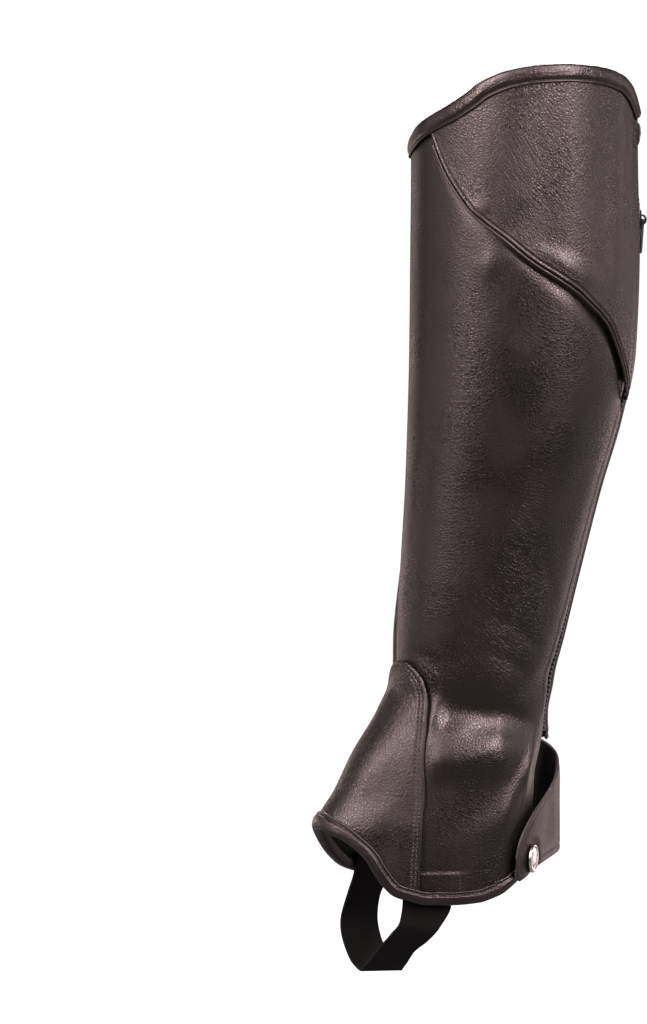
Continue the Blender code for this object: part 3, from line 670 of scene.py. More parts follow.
@dataclass(frozen=True)
class GrainedLeather:
    """Leather with a pebbled grain, with painted shade in its crevices and a painted highlight
    along its marked edges. Depths are in mm.
    """

    name: str
    dark: Colour
    light: Colour
    # The colour of the painted shade in the crevices between the pebbles.
    crevice_shade: Colour = (0.0010, 0.0007, 0.0007)
    pebble: float = 1.5
    pebble_depth: float = 0.080
    lesser_share: float = 0.28
    crease_depth: float = 0.12
    swell_depth: float = 0.12
    smooth: float = 0.25
    rough: float = 0.33
    wrinkle_turn: float = -36.0
    highlight_share: float = 1.9
    shine: float = 0.5

    def grain(self, bench: Bench, place: Socket) -> tuple[Socket, Socket, Socket]:
        """The grain's height.

        Args:
            bench: The material's nodes.
            place: The place on the piece.

        Returns:
            The whole grain, its larger pebbles alone, and the patches where it is flatter.
        """
        warp = bench.noise(place, 300.0, output="Color")
        vector = "ShaderNodeVectorMath"
        shift = bench.add(vector, {0: warp, 1: (0.5, 0.5, 0.5)}, operation="SUBTRACT")
        shift = bench.add(vector, {0: shift, "Scale": 0.5 * MM}, operation="SCALE")
        bent = bench.add(vector, {0: place, 1: shift}, operation="ADD")
        scale = 1.0 / (self.pebble * MM)
        pebbles = bench.span(bench.cells(bent, scale), 0.0, 0.26)
        lesser = bench.span(bench.cells(bent, scale * 2.3), 0.0, 0.12)
        patches = bench.noise(place, 60.0, 3.0)
        grain = bench.sum("MULTIPLY", pebbles, bench.span(patches, 0.3, 0.7, 0.85, 1.0))
        grain = bench.sum("ADD", grain, bench.sum("MULTIPLY", lesser, self.lesser_share))
        fine = bench.sum("MULTIPLY", bench.noise(place, 2400.0), 0.04)
        return bench.sum("ADD", grain, fine), pebbles, patches

    def make(self) -> Material:
        """Makes it.

        Returns:
            The material.
        """
        bench = Bench(self.name)
        place = bench.places()
        grain, pebbles, patches = self.grain(bench, place)
        wrinkles = bench.noise(bench.chart((11.0, 44.0), self.wrinkle_turn), 1.0, 2.0, 0.55)
        sharp = bench.sum("ABSOLUTE", bench.sum("SUBTRACT", wrinkles, 0.5))
        lines = bench.span(sharp, 0.0, 0.10)
        creased = bench.sum("MULTIPLY", lines, bench.mark("crease"))
        relief = bench.bump(creased, self.crease_depth)
        relief = bench.bump(bench.noise(place, 110.0), self.swell_depth, relief)
        relief = bench.bump(grain, self.pebble_depth, relief)
        broad = bench.noise(place, 18.0, 3.0)
        colour = bench.blend(bench.span(broad, 0.35, 0.65), self.dark, self.light)
        # Painted shade: the colour darkens towards the crevice colour between the pebbles, which
        # are also rougher there.
        hollow = bench.sum("MULTIPLY", bench.span(pebbles, 0.0, 0.7, 1.0, 0.0), 0.55)
        colour = bench.blend(hollow, colour, self.crevice_shade)
        # Painted highlight: a lighter colour where the edge mark is set, broken up by patches.
        painted_highlight = bench.sum("MULTIPLY", bench.mark("painted_highlight"), bench.span(patches, 0.3, 0.65, 0.3, 0.8))
        colour = bench.blend(painted_highlight, colour, times(self.light, self.highlight_share))
        gloss = bench.span(bench.noise(place, 33.0, 3.0), 0.35, 0.65, self.smooth, self.rough)
        gloss = bench.sum("ADD", gloss, bench.sum("MULTIPLY", hollow, 0.22))
        return bench.finish(
            Base_Color=colour, Roughness=gloss, Normal=relief, Specular_Tint=opaque(WARM_GLOSS),
            Specular_IOR_Level=self.shine,
        )


@dataclass(frozen=True)
class SmoothLeather:
    """Thin leather stretched over an edge: fine pores, faint pulls across and a soft gloss."""

    name: str
    dark: Colour
    light: Colour
    roughness: float = 0.36
    pull_depth: float = 0.30
    cell_depth: float = 0.06
    pore_depth: float = 0.035
    highlight_share: float = 1.8

    def make(self) -> Material:
        """Makes it.

        Returns:
            The material.
        """
        bench = Bench(self.name)
        place = bench.places()
        pulls = bench.noise(bench.chart((38.0, 5.0)), 1.0)
        pores = bench.noise(place, 1500.0, 3.0, 0.6)
        edge = bench.cells(place, 680.0)
        relief = bench.bump(pulls, self.pull_depth)
        relief = bench.bump(bench.span(edge, 0.0, 0.20), self.cell_depth, relief)
        relief = bench.bump(pores, self.pore_depth, relief)
        patches = bench.noise(place, 40.0, 3.0)
        colour = bench.blend(bench.span(patches, 0.3, 0.7), self.dark, self.light)
        # Painted highlight: a lighter colour on the marked crests, broken up by patches.
        painted_highlight = bench.sum("MULTIPLY", bench.mark("painted_highlight"), bench.span(patches, 0.35, 0.6, 0.15, 0.6))
        colour = bench.blend(painted_highlight, colour, times(self.light, self.highlight_share))
        gloss = bench.span(patches, 0.3, 0.7, self.roughness - 0.06, self.roughness + 0.10)
        return bench.finish(
            Base_Color=colour, Roughness=gloss, Normal=relief, Specular_Tint=opaque(WARM_GLOSS)
        )


@dataclass(frozen=True)
class Suede:
    """The flesh side of leather, or suede: a dull nap with a faint sheen."""

    name: str
    dark: Colour
    light: Colour
    nap: float = 0.10
    roughness: float = 0.92
    sheen: float = 0.12
    sheen_roughness: float = 0.45

    def make(self) -> Material:
        """Makes it.

        Returns:
            The material.
        """
        bench = Bench(self.name)
        place = bench.places()
        fibres = bench.noise(bench.chart((130.0, 210.0), 12.0), 1.0, 3.0, 0.7)
        brushed = bench.noise(place, 26.0, 3.0)
        tufts = bench.noise(place, 190.0, 3.0, 0.6)
        relief = bench.bump(tufts, self.nap * 3.0)
        relief = bench.bump(fibres, self.nap, relief)
        relief = bench.bump(bench.noise(place, 900.0, 3.0, 0.7), self.nap, relief)
        parts = [bench.sum("MULTIPLY", part, 0.3) for part in (fibres, brushed)]
        shade = bench.sum("ADD", bench.sum("ADD", *parts), bench.sum("MULTIPLY", tufts, 0.4))
        colour = bench.blend(bench.span(shade, 0.42, 0.58), self.dark, self.light)
        return bench.finish(
            Base_Color=colour, Roughness=self.roughness, Normal=relief, Sheen_Weight=self.sheen,
            Sheen_Roughness=self.sheen_roughness,
        )


@dataclass(frozen=True)
class Woven:
    """A narrow woven band, with ribs along it and picks across it, counted in each 100 mm."""

    name: str
    dark: Colour
    light: Colour
    ribs: float
    picks: float
    rib_depth: float = 0.14
    pick_depth: float = 0.06
    fuzz_depth: float = 0.05
    roughness: float = 0.85
    shine: float = 0.18

    def make(self) -> Material:
        """Makes it.

        Returns:
            The material.
        """
        bench = Bench(self.name)
        chart = bench.chart()
        parts = bench.nodes.new("ShaderNodeSeparateXYZ")
        bench.feed(parts, {0: chart})
        across, along = parts.outputs[0], parts.outputs[1]
        rib = bench.sum("SINE", bench.sum("MULTIPLY", across, self.ribs * math.tau))
        pick = bench.sum("SINE", bench.sum("MULTIPLY", along, self.picks * math.tau))
        rib_height = bench.span(rib, -1.0, 1.0)
        pick_height = bench.span(pick, -1.0, 1.0)
        fuzz = bench.noise(bench.places(), 1800.0, 3.0, 0.65)
        relief = bench.bump(rib_height, self.rib_depth)
        relief = bench.bump(pick_height, self.pick_depth, relief)
        relief = bench.bump(fuzz, self.fuzz_depth, relief)
        # Painted shade: the colour darkens in the grooves of the ribs and the picks.
        woven = bench.sum("MULTIPLY", rib_height, bench.span(pick_height, 0.0, 1.0, 0.45, 1.0))
        shade = bench.sum("MULTIPLY", woven, bench.span(fuzz, 0.3, 0.7, 0.6, 1.0))
        colour = bench.blend(shade, self.dark, self.light)
        return bench.finish(
            Base_Color=colour, Roughness=self.roughness, Normal=relief,
            Specular_IOR_Level=self.shine,
        )


@dataclass(frozen=True)
class Thread:
    """Waxed sewing thread with its twist."""

    name: str
    colour: Colour
    roughness: float = 0.5
    twist_depth: float = 0.06

    def make(self) -> Material:
        """Makes it.

        Returns:
            The material.
        """
        bench = Bench(self.name)
        strands = bench.noise(bench.places(), 3200.0)
        # Painted shade: the thread darkens where its twist's bump is low.
        shade = bench.blend(bench.span(strands, 0.35, 0.65), times(self.colour, 0.6), self.colour)
        relief = bench.bump(strands, self.twist_depth)
        return bench.finish(Base_Color=shade, Roughness=self.roughness, Normal=relief)


@dataclass(frozen=True)
class Moulded:
    """Moulded plastic or lacquered metal: fine orange peel and faint rubbing."""

    name: str
    colour: Colour
    roughness: float = 0.32
    metallic: float = 0.0
    peel_depth: float = 0.03

    def make(self) -> Material:
        """Makes it.

        Returns:
            The material.
        """
        bench = Bench(self.name)
        place = bench.places()
        peel = bench.noise(place, 1100.0)
        rubbed = bench.noise(place, 420.0, 3.0, 0.65)
        bright = times(self.colour, 1.7, 0.004)
        colour = bench.blend(bench.span(rubbed, 0.55, 0.75), self.colour, bright)
        gloss = bench.span(rubbed, 0.3, 0.7, self.roughness - 0.05, self.roughness + 0.12)
        relief = bench.bump(peel, self.peel_depth)
        return bench.finish(
            Base_Color=colour, Roughness=gloss, Metallic=self.metallic, Normal=relief
        )


@dataclass(frozen=True)
class PlatedSteel:
    """Bright plated steel with fine scratches."""

    name: str
    colour: Colour = (0.66, 0.64, 0.62)
    roughness: float = 0.20
    scratch_depth: float = 0.006

    def make(self) -> Material:
        """Makes it.

        Returns:
            The material.
        """
        bench = Bench(self.name)
        place = bench.places()
        scratches = bench.noise(place, 1600.0, 4.0, 0.7)
        dull = bench.noise(place, 260.0)
        gloss = bench.span(dull, 0.3, 0.7, self.roughness - 0.05, self.roughness + 0.12)
        colour = bench.blend(bench.span(dull, 0.35, 0.7), self.colour, times(self.colour, 0.8))
        relief = bench.bump(scratches, self.scratch_depth)
        return bench.finish(Base_Color=colour, Roughness=gloss, Metallic=1.0, Normal=relief)


FINISHES = (
    GrainedLeather("grained_leather", (0.0028, 0.0019, 0.0018), (0.0058, 0.0040, 0.0039)),
    # A lighter, shinier copy of the grained leather for the overlay: painted light.
    GrainedLeather("lit_top_leather", (0.0030, 0.0021, 0.0020), (0.0064, 0.0044, 0.0043), shine=0.59),
    # A lighter copy of the grained leather for the heel flap: painted light.
    GrainedLeather(
        "lit_flap_leather", (0.0060, 0.0041, 0.0039), (0.0105, 0.0074, 0.0071),
        (0.0030, 0.0021, 0.0020), smooth=0.34, rough=0.42,
    ),
    GrainedLeather(
        "panel_leather", (0.0026, 0.0018, 0.0017), (0.0052, 0.0036, 0.0035), pebble_depth=0.060
    ),
    SmoothLeather("binding_leather", (0.0040, 0.0027, 0.0026), (0.0075, 0.0053, 0.0052)),
    Suede("black_suede", (0.0060, 0.0050, 0.0048), (0.0200, 0.0166, 0.0160), 0.12),
    Suede("flesh_side", (0.0080, 0.0064, 0.0060), (0.0175, 0.0145, 0.0135), 0.07),
    Suede("cut_edge", (0.0080, 0.0060, 0.0055), (0.018, 0.0135, 0.0125), 0.05),
    Woven("zip_tape", (0.004, 0.004, 0.0045), (0.013, 0.013, 0.014), 110.0, 130.0),
    Woven(
        "elastic_band", (0.0012, 0.0009, 0.0009), (0.0034, 0.0027, 0.0027), 78.0, 120.0,
        rib_depth=0.05, pick_depth=0.03,
    ),
    Thread("leather_thread", (0.024, 0.016, 0.015)),
    Thread("vamp_thread", (0.055, 0.039, 0.037)),
    Thread("binding_thread", (0.014, 0.009, 0.009)),
    Thread("black_thread", (0.014, 0.012, 0.012)),
    # Dark beads at the needle holes: painted shade.
    Thread("needle_hole_shade", (0.003, 0.002, 0.002), 0.9),
    Moulded("zip_teeth_black", (0.010, 0.010, 0.011)),
    Moulded("zip_metal_dark", (0.060, 0.058, 0.060), 0.30, 1.0),
    PlatedSteel("plated_steel"),
)


@cache
def finish(name: str) -> Material:
    """The finish of this name, made once."""
    return next(each for each in FINISHES if each.name == name).make()


# --- mesh tools


def hang_up(
    mesh: Mesh, finishes: Sequence[str], slot: Slot, node: str | None = None,
    body: Body = Body.CHAP,
) -> Object:
    """Makes a mesh an object that rides on a body of the frame.

    Args:
        mesh: The mesh, already in place.
        finishes: Its finishes in order.
        slot: The record's slot that it would take its finish from; not used.
        node: The solid that it stands for.
        body: The body that it moves with.

    Returns:
        The object.
    """
    obj = bpy.data.objects.new(mesh.name, mesh)
    bpy.context.scene.collection.objects.link(obj)
    for name in finishes:
        mesh.materials.append(finish(name))
    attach(obj, body.value)
    if node:
        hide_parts(node)
    LOG.info("%s: %d faces", obj.name, len(mesh.polygons))
    return obj


def mesh_of(bm: BMesh, name: str, crisp: float | None = None) -> Mesh:
    """Turns a bmesh into a smooth mesh, and frees it.

    Args:
        bm: The bmesh.
        name: The mesh's name.
        crisp: The angle in degrees from which an edge stays sharp.

    Returns:
        The mesh.
    """
    mesh = bpy.data.meshes.new(name)
    bm.to_mesh(mesh)
    bm.free()
    mesh.shade_smooth()
    if crisp is not None:
        mesh.set_sharp_from_angle(angle=math.radians(crisp))
    return mesh


def graded(steps: int, ends: float = 0.6, low_share: float = 1.0) -> Array:
    """Shares from 0 to 1, closer together at both ends, and near 0 for a low_share over 1."""
    t = np.linspace(0, 1, steps + 1)
    return (t - ends * np.sin(math.tau * t) / math.tau) ** low_share


def grid_mesh(
    name: str, points: Array, cut: Array, marks: dict[str, Array] | None = None
) -> Mesh:
    """A mesh over a grid of points, made from Blender's own grid.

    Args:
        name: The mesh's name.
        points: Rows by columns of world points in metres.
        cut: Rows by columns of the piece's own map.
        marks: Numbers painted on the points, by name.

    Returns:
        The mesh.
    """
    rows, columns = points.shape[:2]
    bm = bmesh.new()
    bmesh.ops.create_grid(bm, x_segments=columns - 1, y_segments=rows - 1, size=1.0)
    mesh = mesh_of(bm, name)
    flat = np.empty(len(mesh.vertices) * 3)
    mesh.vertices.foreach_get("co", flat)
    i = np.rint((flat[1::3] + 1) / 2 * (rows - 1)).astype(int)
    j = np.rint((flat[0::3] + 1) / 2 * (columns - 1)).astype(int)
    mesh.vertices.foreach_set("co", points[i, j].astype(np.float32).ravel())
    corner = np.empty(len(mesh.loops), np.int32)
    mesh.loops.foreach_get("vertex_index", corner)
    layer = mesh.uv_layers.new(name="cut")
    layer.data.foreach_set("uv", cut[i, j][corner].astype(np.float32).ravel())
    for key, values in (marks or {}).items():
        painted = mesh.attributes.new(key, "FLOAT", "POINT")
        painted.data.foreach_set("value", values[i, j].astype(np.float32))
    mesh.update()
    return mesh


def cut_map(points: Array) -> tuple[Array, tuple[float, float, float]]:
    """A piece's own map from its lengths, laid straight at its middle, and the size it was cut to.

    Args:
        points: Rows by columns of points in millimetres.

    Returns:
        The map, where 1 is 100 mm, and the flat width, length and area in metres.
    """
    across = np.linalg.norm(np.diff(points, axis=1), axis=2)
    up = np.linalg.norm(np.diff(points, axis=0), axis=2)
    middle = round((points.shape[1] - 1) / 2)
    u = np.concatenate([np.zeros((len(points), 1)), np.cumsum(across, axis=1)], axis=1)
    u -= u[:, middle : middle + 1]
    v = np.concatenate([np.zeros((1, points.shape[1])), np.cumsum(up, axis=0)], axis=0)
    width = float((u[:, -1] - u[:, 0]).max()) * MM
    length = float(v[-1].max()) * MM
    first = points[1:, :-1] - points[:-1, :-1]
    second = points[:-1, 1:] - points[:-1, :-1]
    area = float(np.linalg.norm(np.cross(first, second), axis=2).sum()) * MM * MM
    return np.stack([u, v], axis=-1) / 100.0, (width, length, min(area, width * length))


SPACING = 0.5
BATCH = 4096


def near(points: Array, line: Array) -> Array:
    """Distance of each point from a line.

    Args:
        points: Rows by columns of points.
        line: The line's points.

    Returns:
        The distances.
    """
    lengths = np.concatenate([[0], np.cumsum(np.linalg.norm(np.diff(line, axis=0), axis=1))])
    even = np.linspace(0, lengths[-1], int(lengths[-1] / SPACING) + 2)
    dense = np.stack([np.interp(even, lengths, line[:, i]) for i in range(3)], axis=1)
    steps = np.diff(dense, axis=0)
    flat = points.reshape(-1, 3)
    found = np.empty(len(flat))
    for start in range(0, len(flat), BATCH):
        some = flat[start : start + BATCH]
        squares = (dense**2).sum(axis=1) - 2 * some @ dense.T
        closest = squares.argmin(axis=1)
        best = np.full(len(some), np.inf)
        for before in (-1, 0):
            k = np.clip(closest + before, 0, len(steps) - 1)
            offset = some - dense[k]
            share = (offset * steps[k]).sum(axis=1) / (steps[k] ** 2).sum(axis=1)
            offset -= steps[k] * np.clip(share, 0, 1)[:, None]
            best = np.minimum(best, np.linalg.norm(offset, axis=1))
        found[start : start + BATCH] = best
    return found.reshape(points.shape[:2])


def swept_mesh(name: str, rings: Array, painted_highlight: Array) -> Mesh:
    """A closed bar through rings of points.

    Args:
        name: The mesh's name.
        rings: Steps by ring points, in millimetres.
        painted_highlight: How much painted highlight each ring point takes, from 0 to 1.

    Returns:
        The mesh.
    """
    loop = np.concatenate([rings, rings[:, :1]], axis=1)
    cut, _ = cut_map(loop)
    painted_highlight = np.concatenate([painted_highlight, painted_highlight[:, :1]], axis=1)
    mesh = grid_mesh(name, in_metres(loop), cut, {"painted_highlight": painted_highlight})
    bm = bmesh.new()
    bm.from_mesh(mesh)
    bmesh.ops.remove_doubles(bm, verts=bm.verts, dist=0.002 * MM)
    bmesh.ops.holes_fill(bm, edges=[edge for edge in bm.edges if edge.is_boundary])
    bmesh.ops.recalc_face_normals(bm, faces=bm.faces)
    bm.to_mesh(mesh)
    bm.free()
    return mesh


@dataclass(frozen=True)
class Sheet:
    """A sheet: a face with a wall behind it, with one finish or those of face, back and rim."""

    name: str
    node: str
    slot: Slot
    finishes: tuple[str, ...]
    thick: float
    rests_on: tuple[str, ...]
    wall_offset: float = -1.0
    along_columns: bool = False

    def build(self, face: Array, laid: Array, marks: dict[str, Array] | None = None) -> Object:
        """Makes the sheet.

        Args:
            face: Rows by columns of its face's points in millimetres.
            laid: The same points without relief, from which its cut is measured.
            marks: Numbers painted on the points, by name.

        Returns:
            Its object.
        """
        cut, (width, length, area) = cut_map(laid)
        mesh = grid_mesh(
            self.name, in_metres(face), cut[..., ::-1] if self.along_columns else cut, marks
        )
        obj = hang_up(mesh, self.finishes, self.slot, self.node)
        wall = obj.modifiers.new("wall", "SOLIDIFY")
        wall.thickness = self.thick * MM
        wall.offset = self.wall_offset
        if len(self.finishes) == 3:
            wall.material_offset = 1
            wall.material_offset_rim = 2
        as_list(self.rests_on)
        LOG.info("%s cut %.0f x %.0f mm, %.0f cm2", self.name, width / MM, length / MM, area * 1e4)
        return obj


# --- leather pieces


@dataclass(frozen=True)
class EdgeFinish:
    """How an edge is turned and sewn: distances in from the edge, and depths."""

    round_over: float = 0.55
    round_in: float = 1.1
    rows: tuple[float, ...] = ()
    groove: float = 0.32
    groove_half: float = 0.75
    puff: float = 0.18
    puff_half: float = 1.8
    crest_share: float = 0.8

    def shape(self, distance: Array) -> Array:
        """The edge's relief.

        Args:
            distance: Distances from the edge.

        Returns:
            Distances outwards.
        """
        fall = np.clip(1 - distance / self.round_in, 0, 1)
        relief = -self.round_over * fall**2
        for row in self.rows:
            relief -= self.groove * np.exp(-(((distance - row) / self.groove_half) ** 2))
            for side in (-1, 1):
                crest = row + side * (self.groove_half + self.puff_half * self.crest_share)
                relief += self.puff * np.exp(-(((distance - crest) / self.puff_half) ** 2))
        return relief


START_HEIGHT = 200.0
MOST_ROUNDS = 70
CLOSE_ENOUGH = 0.01


@dataclass
class Piece:
    """One leather piece on a grid between two sides and two lines across."""

    name: str
    node: str
    first: LineOf
    last: LineOf
    low: LineOf
    high: LineOf
    lift: float
    thick: float
    columns: int
    rows: int
    slot: Slot = Slot.LEATHER
    face: str = "grained_leather"
    low_share: float = 1.0
    creases: tuple[Fold, ...] = ()
    wrinkled: tuple[Fold, ...] = ()
    edges: dict[Edge, EdgeFinish] = field(default_factory=dict)
    extra: Callable[["Piece", Array, Array, Array], Array] | None = None
    lay: Callable[[Array, Array], tuple[Array, Array]] | None = None
    rests_on: tuple[str, ...] = ()
    # How wide and how strong the painted highlight along the finished edges is.
    highlight_half: float = 0.9
    highlight_share: float = 0.6

    def grid(self) -> tuple[Array, Array]:
        """Angles and heights of the grid, found in rounds until its four sides agree.

        Returns:
            Angles and heights, rows by columns.
        """
        rise, spread = graded(self.rows, 0.5, self.low_share), graded(self.columns)
        if self.lay:
            return self.lay(rise, spread)
        up, across = np.meshgrid(rise, spread, indexing="ij")
        start = np.array(START_HEIGHT)
        angle = self.first(start) * (1 - across) + self.last(start) * across
        height = start + 0 * angle
        for _ in range(MOST_ROUNDS):
            before = height
            height = self.low(angle) * (1 - up) + self.high(angle) * up
            angle = self.first(height) * (1 - across) + self.last(height) * across
            if np.abs(height - before).max() < CLOSE_ENOUGH:
                break
        return angle, height

    def skin(self, angle: Numbers, height: Numbers) -> Array:
        """How far the outer face stands out before its edges are shaped."""
        angle, height = paired(angle, height)
        return self.lift + self.thick + LEG.fold_depth(angle, height, self.creases)

    def over(self, out: float) -> Callable[[Array, Array], Array]:
        """How far out a thread lies that stands this much over the piece's face."""
        return lambda angles, heights: self.skin(angles, heights) + out

    def build(self) -> Object:
        """Makes the piece.

        Returns:
            The piece's object.
        """
        angle, height = self.grid()
        smooth = LEG.place(angle, height, self.lift)
        borders = {
            Edge.FIRST: smooth[:, 0], Edge.LAST: smooth[:, -1], Edge.LOW: smooth[0],
            Edge.HIGH: smooth[-1],
        }
        out = self.skin(angle, height)
        # The mark for the painted highlight, a lighter colour near each finished edge.
        painted_highlight = np.zeros(angle.shape)
        for edge, turned in self.edges.items():
            distance = near(smooth, borders[edge])
            out = out + turned.shape(distance)
            painted_highlight = np.maximum(painted_highlight, np.exp(-((distance / self.highlight_half) ** 2)))
        if self.extra:
            out = self.extra(self, angle, height, out)
        crease = np.clip(LEG.fold_depth(angle, height, self.wrinkled), 0, 1)
        names = (self.face, "flesh_side", "cut_edge")
        sheet = Sheet(self.name, self.node, self.slot, names, self.thick, self.rests_on)
        marks = {"crease": crease, "painted_highlight": painted_highlight * self.highlight_share}
        return sheet.build(LEG.place(angle, height, out), smooth, marks)


# --- sewing


@dataclass
class Sewing:
    """Rows of stitches, each a short thread between two needle holes."""

    name: str
    pitch: float = 2.4
    length: float = 1.7
    radius: float = 0.27
    hole: float = 0.48
    sink: float = 0.10
    thread: str = "leather_thread"
    hole_depth: float = 0.10

    def __post_init__(self) -> None:
        """Starts the mesh, and shapes the one stitch that is repeated."""
        self.bm = bmesh.new()
        self.stitch = bmesh.new()
        self.bead((self.radius, self.radius, self.length / 2), 6, 5, -self.sink, 0.0)
        # A dark bead in each needle hole, between the threads: painted shade.
        first = len(self.stitch.faces)
        self.bead((self.hole_depth, self.hole, self.hole), 6, 4, 0.0, self.pitch / 2)
        self.stitch.faces.ensure_lookup_table()
        for face in self.stitch.faces[first:]:
            face.material_index = 1

    def bead(
        self, radii: Sequence[float], segments: int, rings: int, out: float, along: float
    ) -> None:
        """Adds one long bead to the stitch.

        Args:
            radii: Its radii outwards, across and along.
            segments: Sides round it.
            rings: Steps along it.
            out: How far out of the leather it lies.
            along: How far along the row it lies.
        """
        place = Matrix.Translation(Vector((out, 0.0, along)) * MM)
        size = Matrix.Diagonal((*(radius * MM for radius in radii), 1.0))
        bmesh.ops.create_uvsphere(
            self.stitch, u_segments=segments, v_segments=rings, radius=1.0, matrix=place @ size
        )

    def row(self, angles: Array, heights: Array, out: Callable[[Array, Array], Array]) -> None:
        """Sews one row along a line on the leg.

        Args:
            angles, heights: The line's places.
            out: Gives the distances outwards at some angles and heights.
        """
        angles, heights = LEG.even(angles, heights, self.pitch / 2)
        line = LEG.place(angles, heights, out(angles, heights))
        self.points(line, LEG.normal(angles, heights))

    def points(self, line: Array, normals: Array) -> None:
        """Sews one row along points half a pitch apart.

        Args:
            line: Points in millimetres; each second one is a stitch's middle.
            normals: The outward directions there.
        """
        one = bpy.data.meshes.new("one_stitch")
        for k in range(1, len(line) - 1, 2):
            along = Vector(line[k + 1] - line[k - 1]).normalized()
            across = along.cross(Vector(normals[k])).normalized()
            place = Matrix((across.cross(along), across, along)).transposed().to_4x4()
            place.translation = Vector(in_metres(line[k]))
            copy = self.stitch.copy()
            bmesh.ops.transform(copy, matrix=place, verts=copy.verts)
            copy.to_mesh(one)
            copy.free()
            self.bm.from_mesh(one)
        bpy.data.meshes.remove(one)

    def finish(self, slot: Slot = Slot.LEATHER) -> Object:
        """Makes the sewing's object.

        Args:
            slot: The record's slot.

        Returns:
            The object.
        """
        self.stitch.free()
        return hang_up(mesh_of(self.bm, self.name), (self.thread, "needle_hole_shade"), slot)


# --- the panels


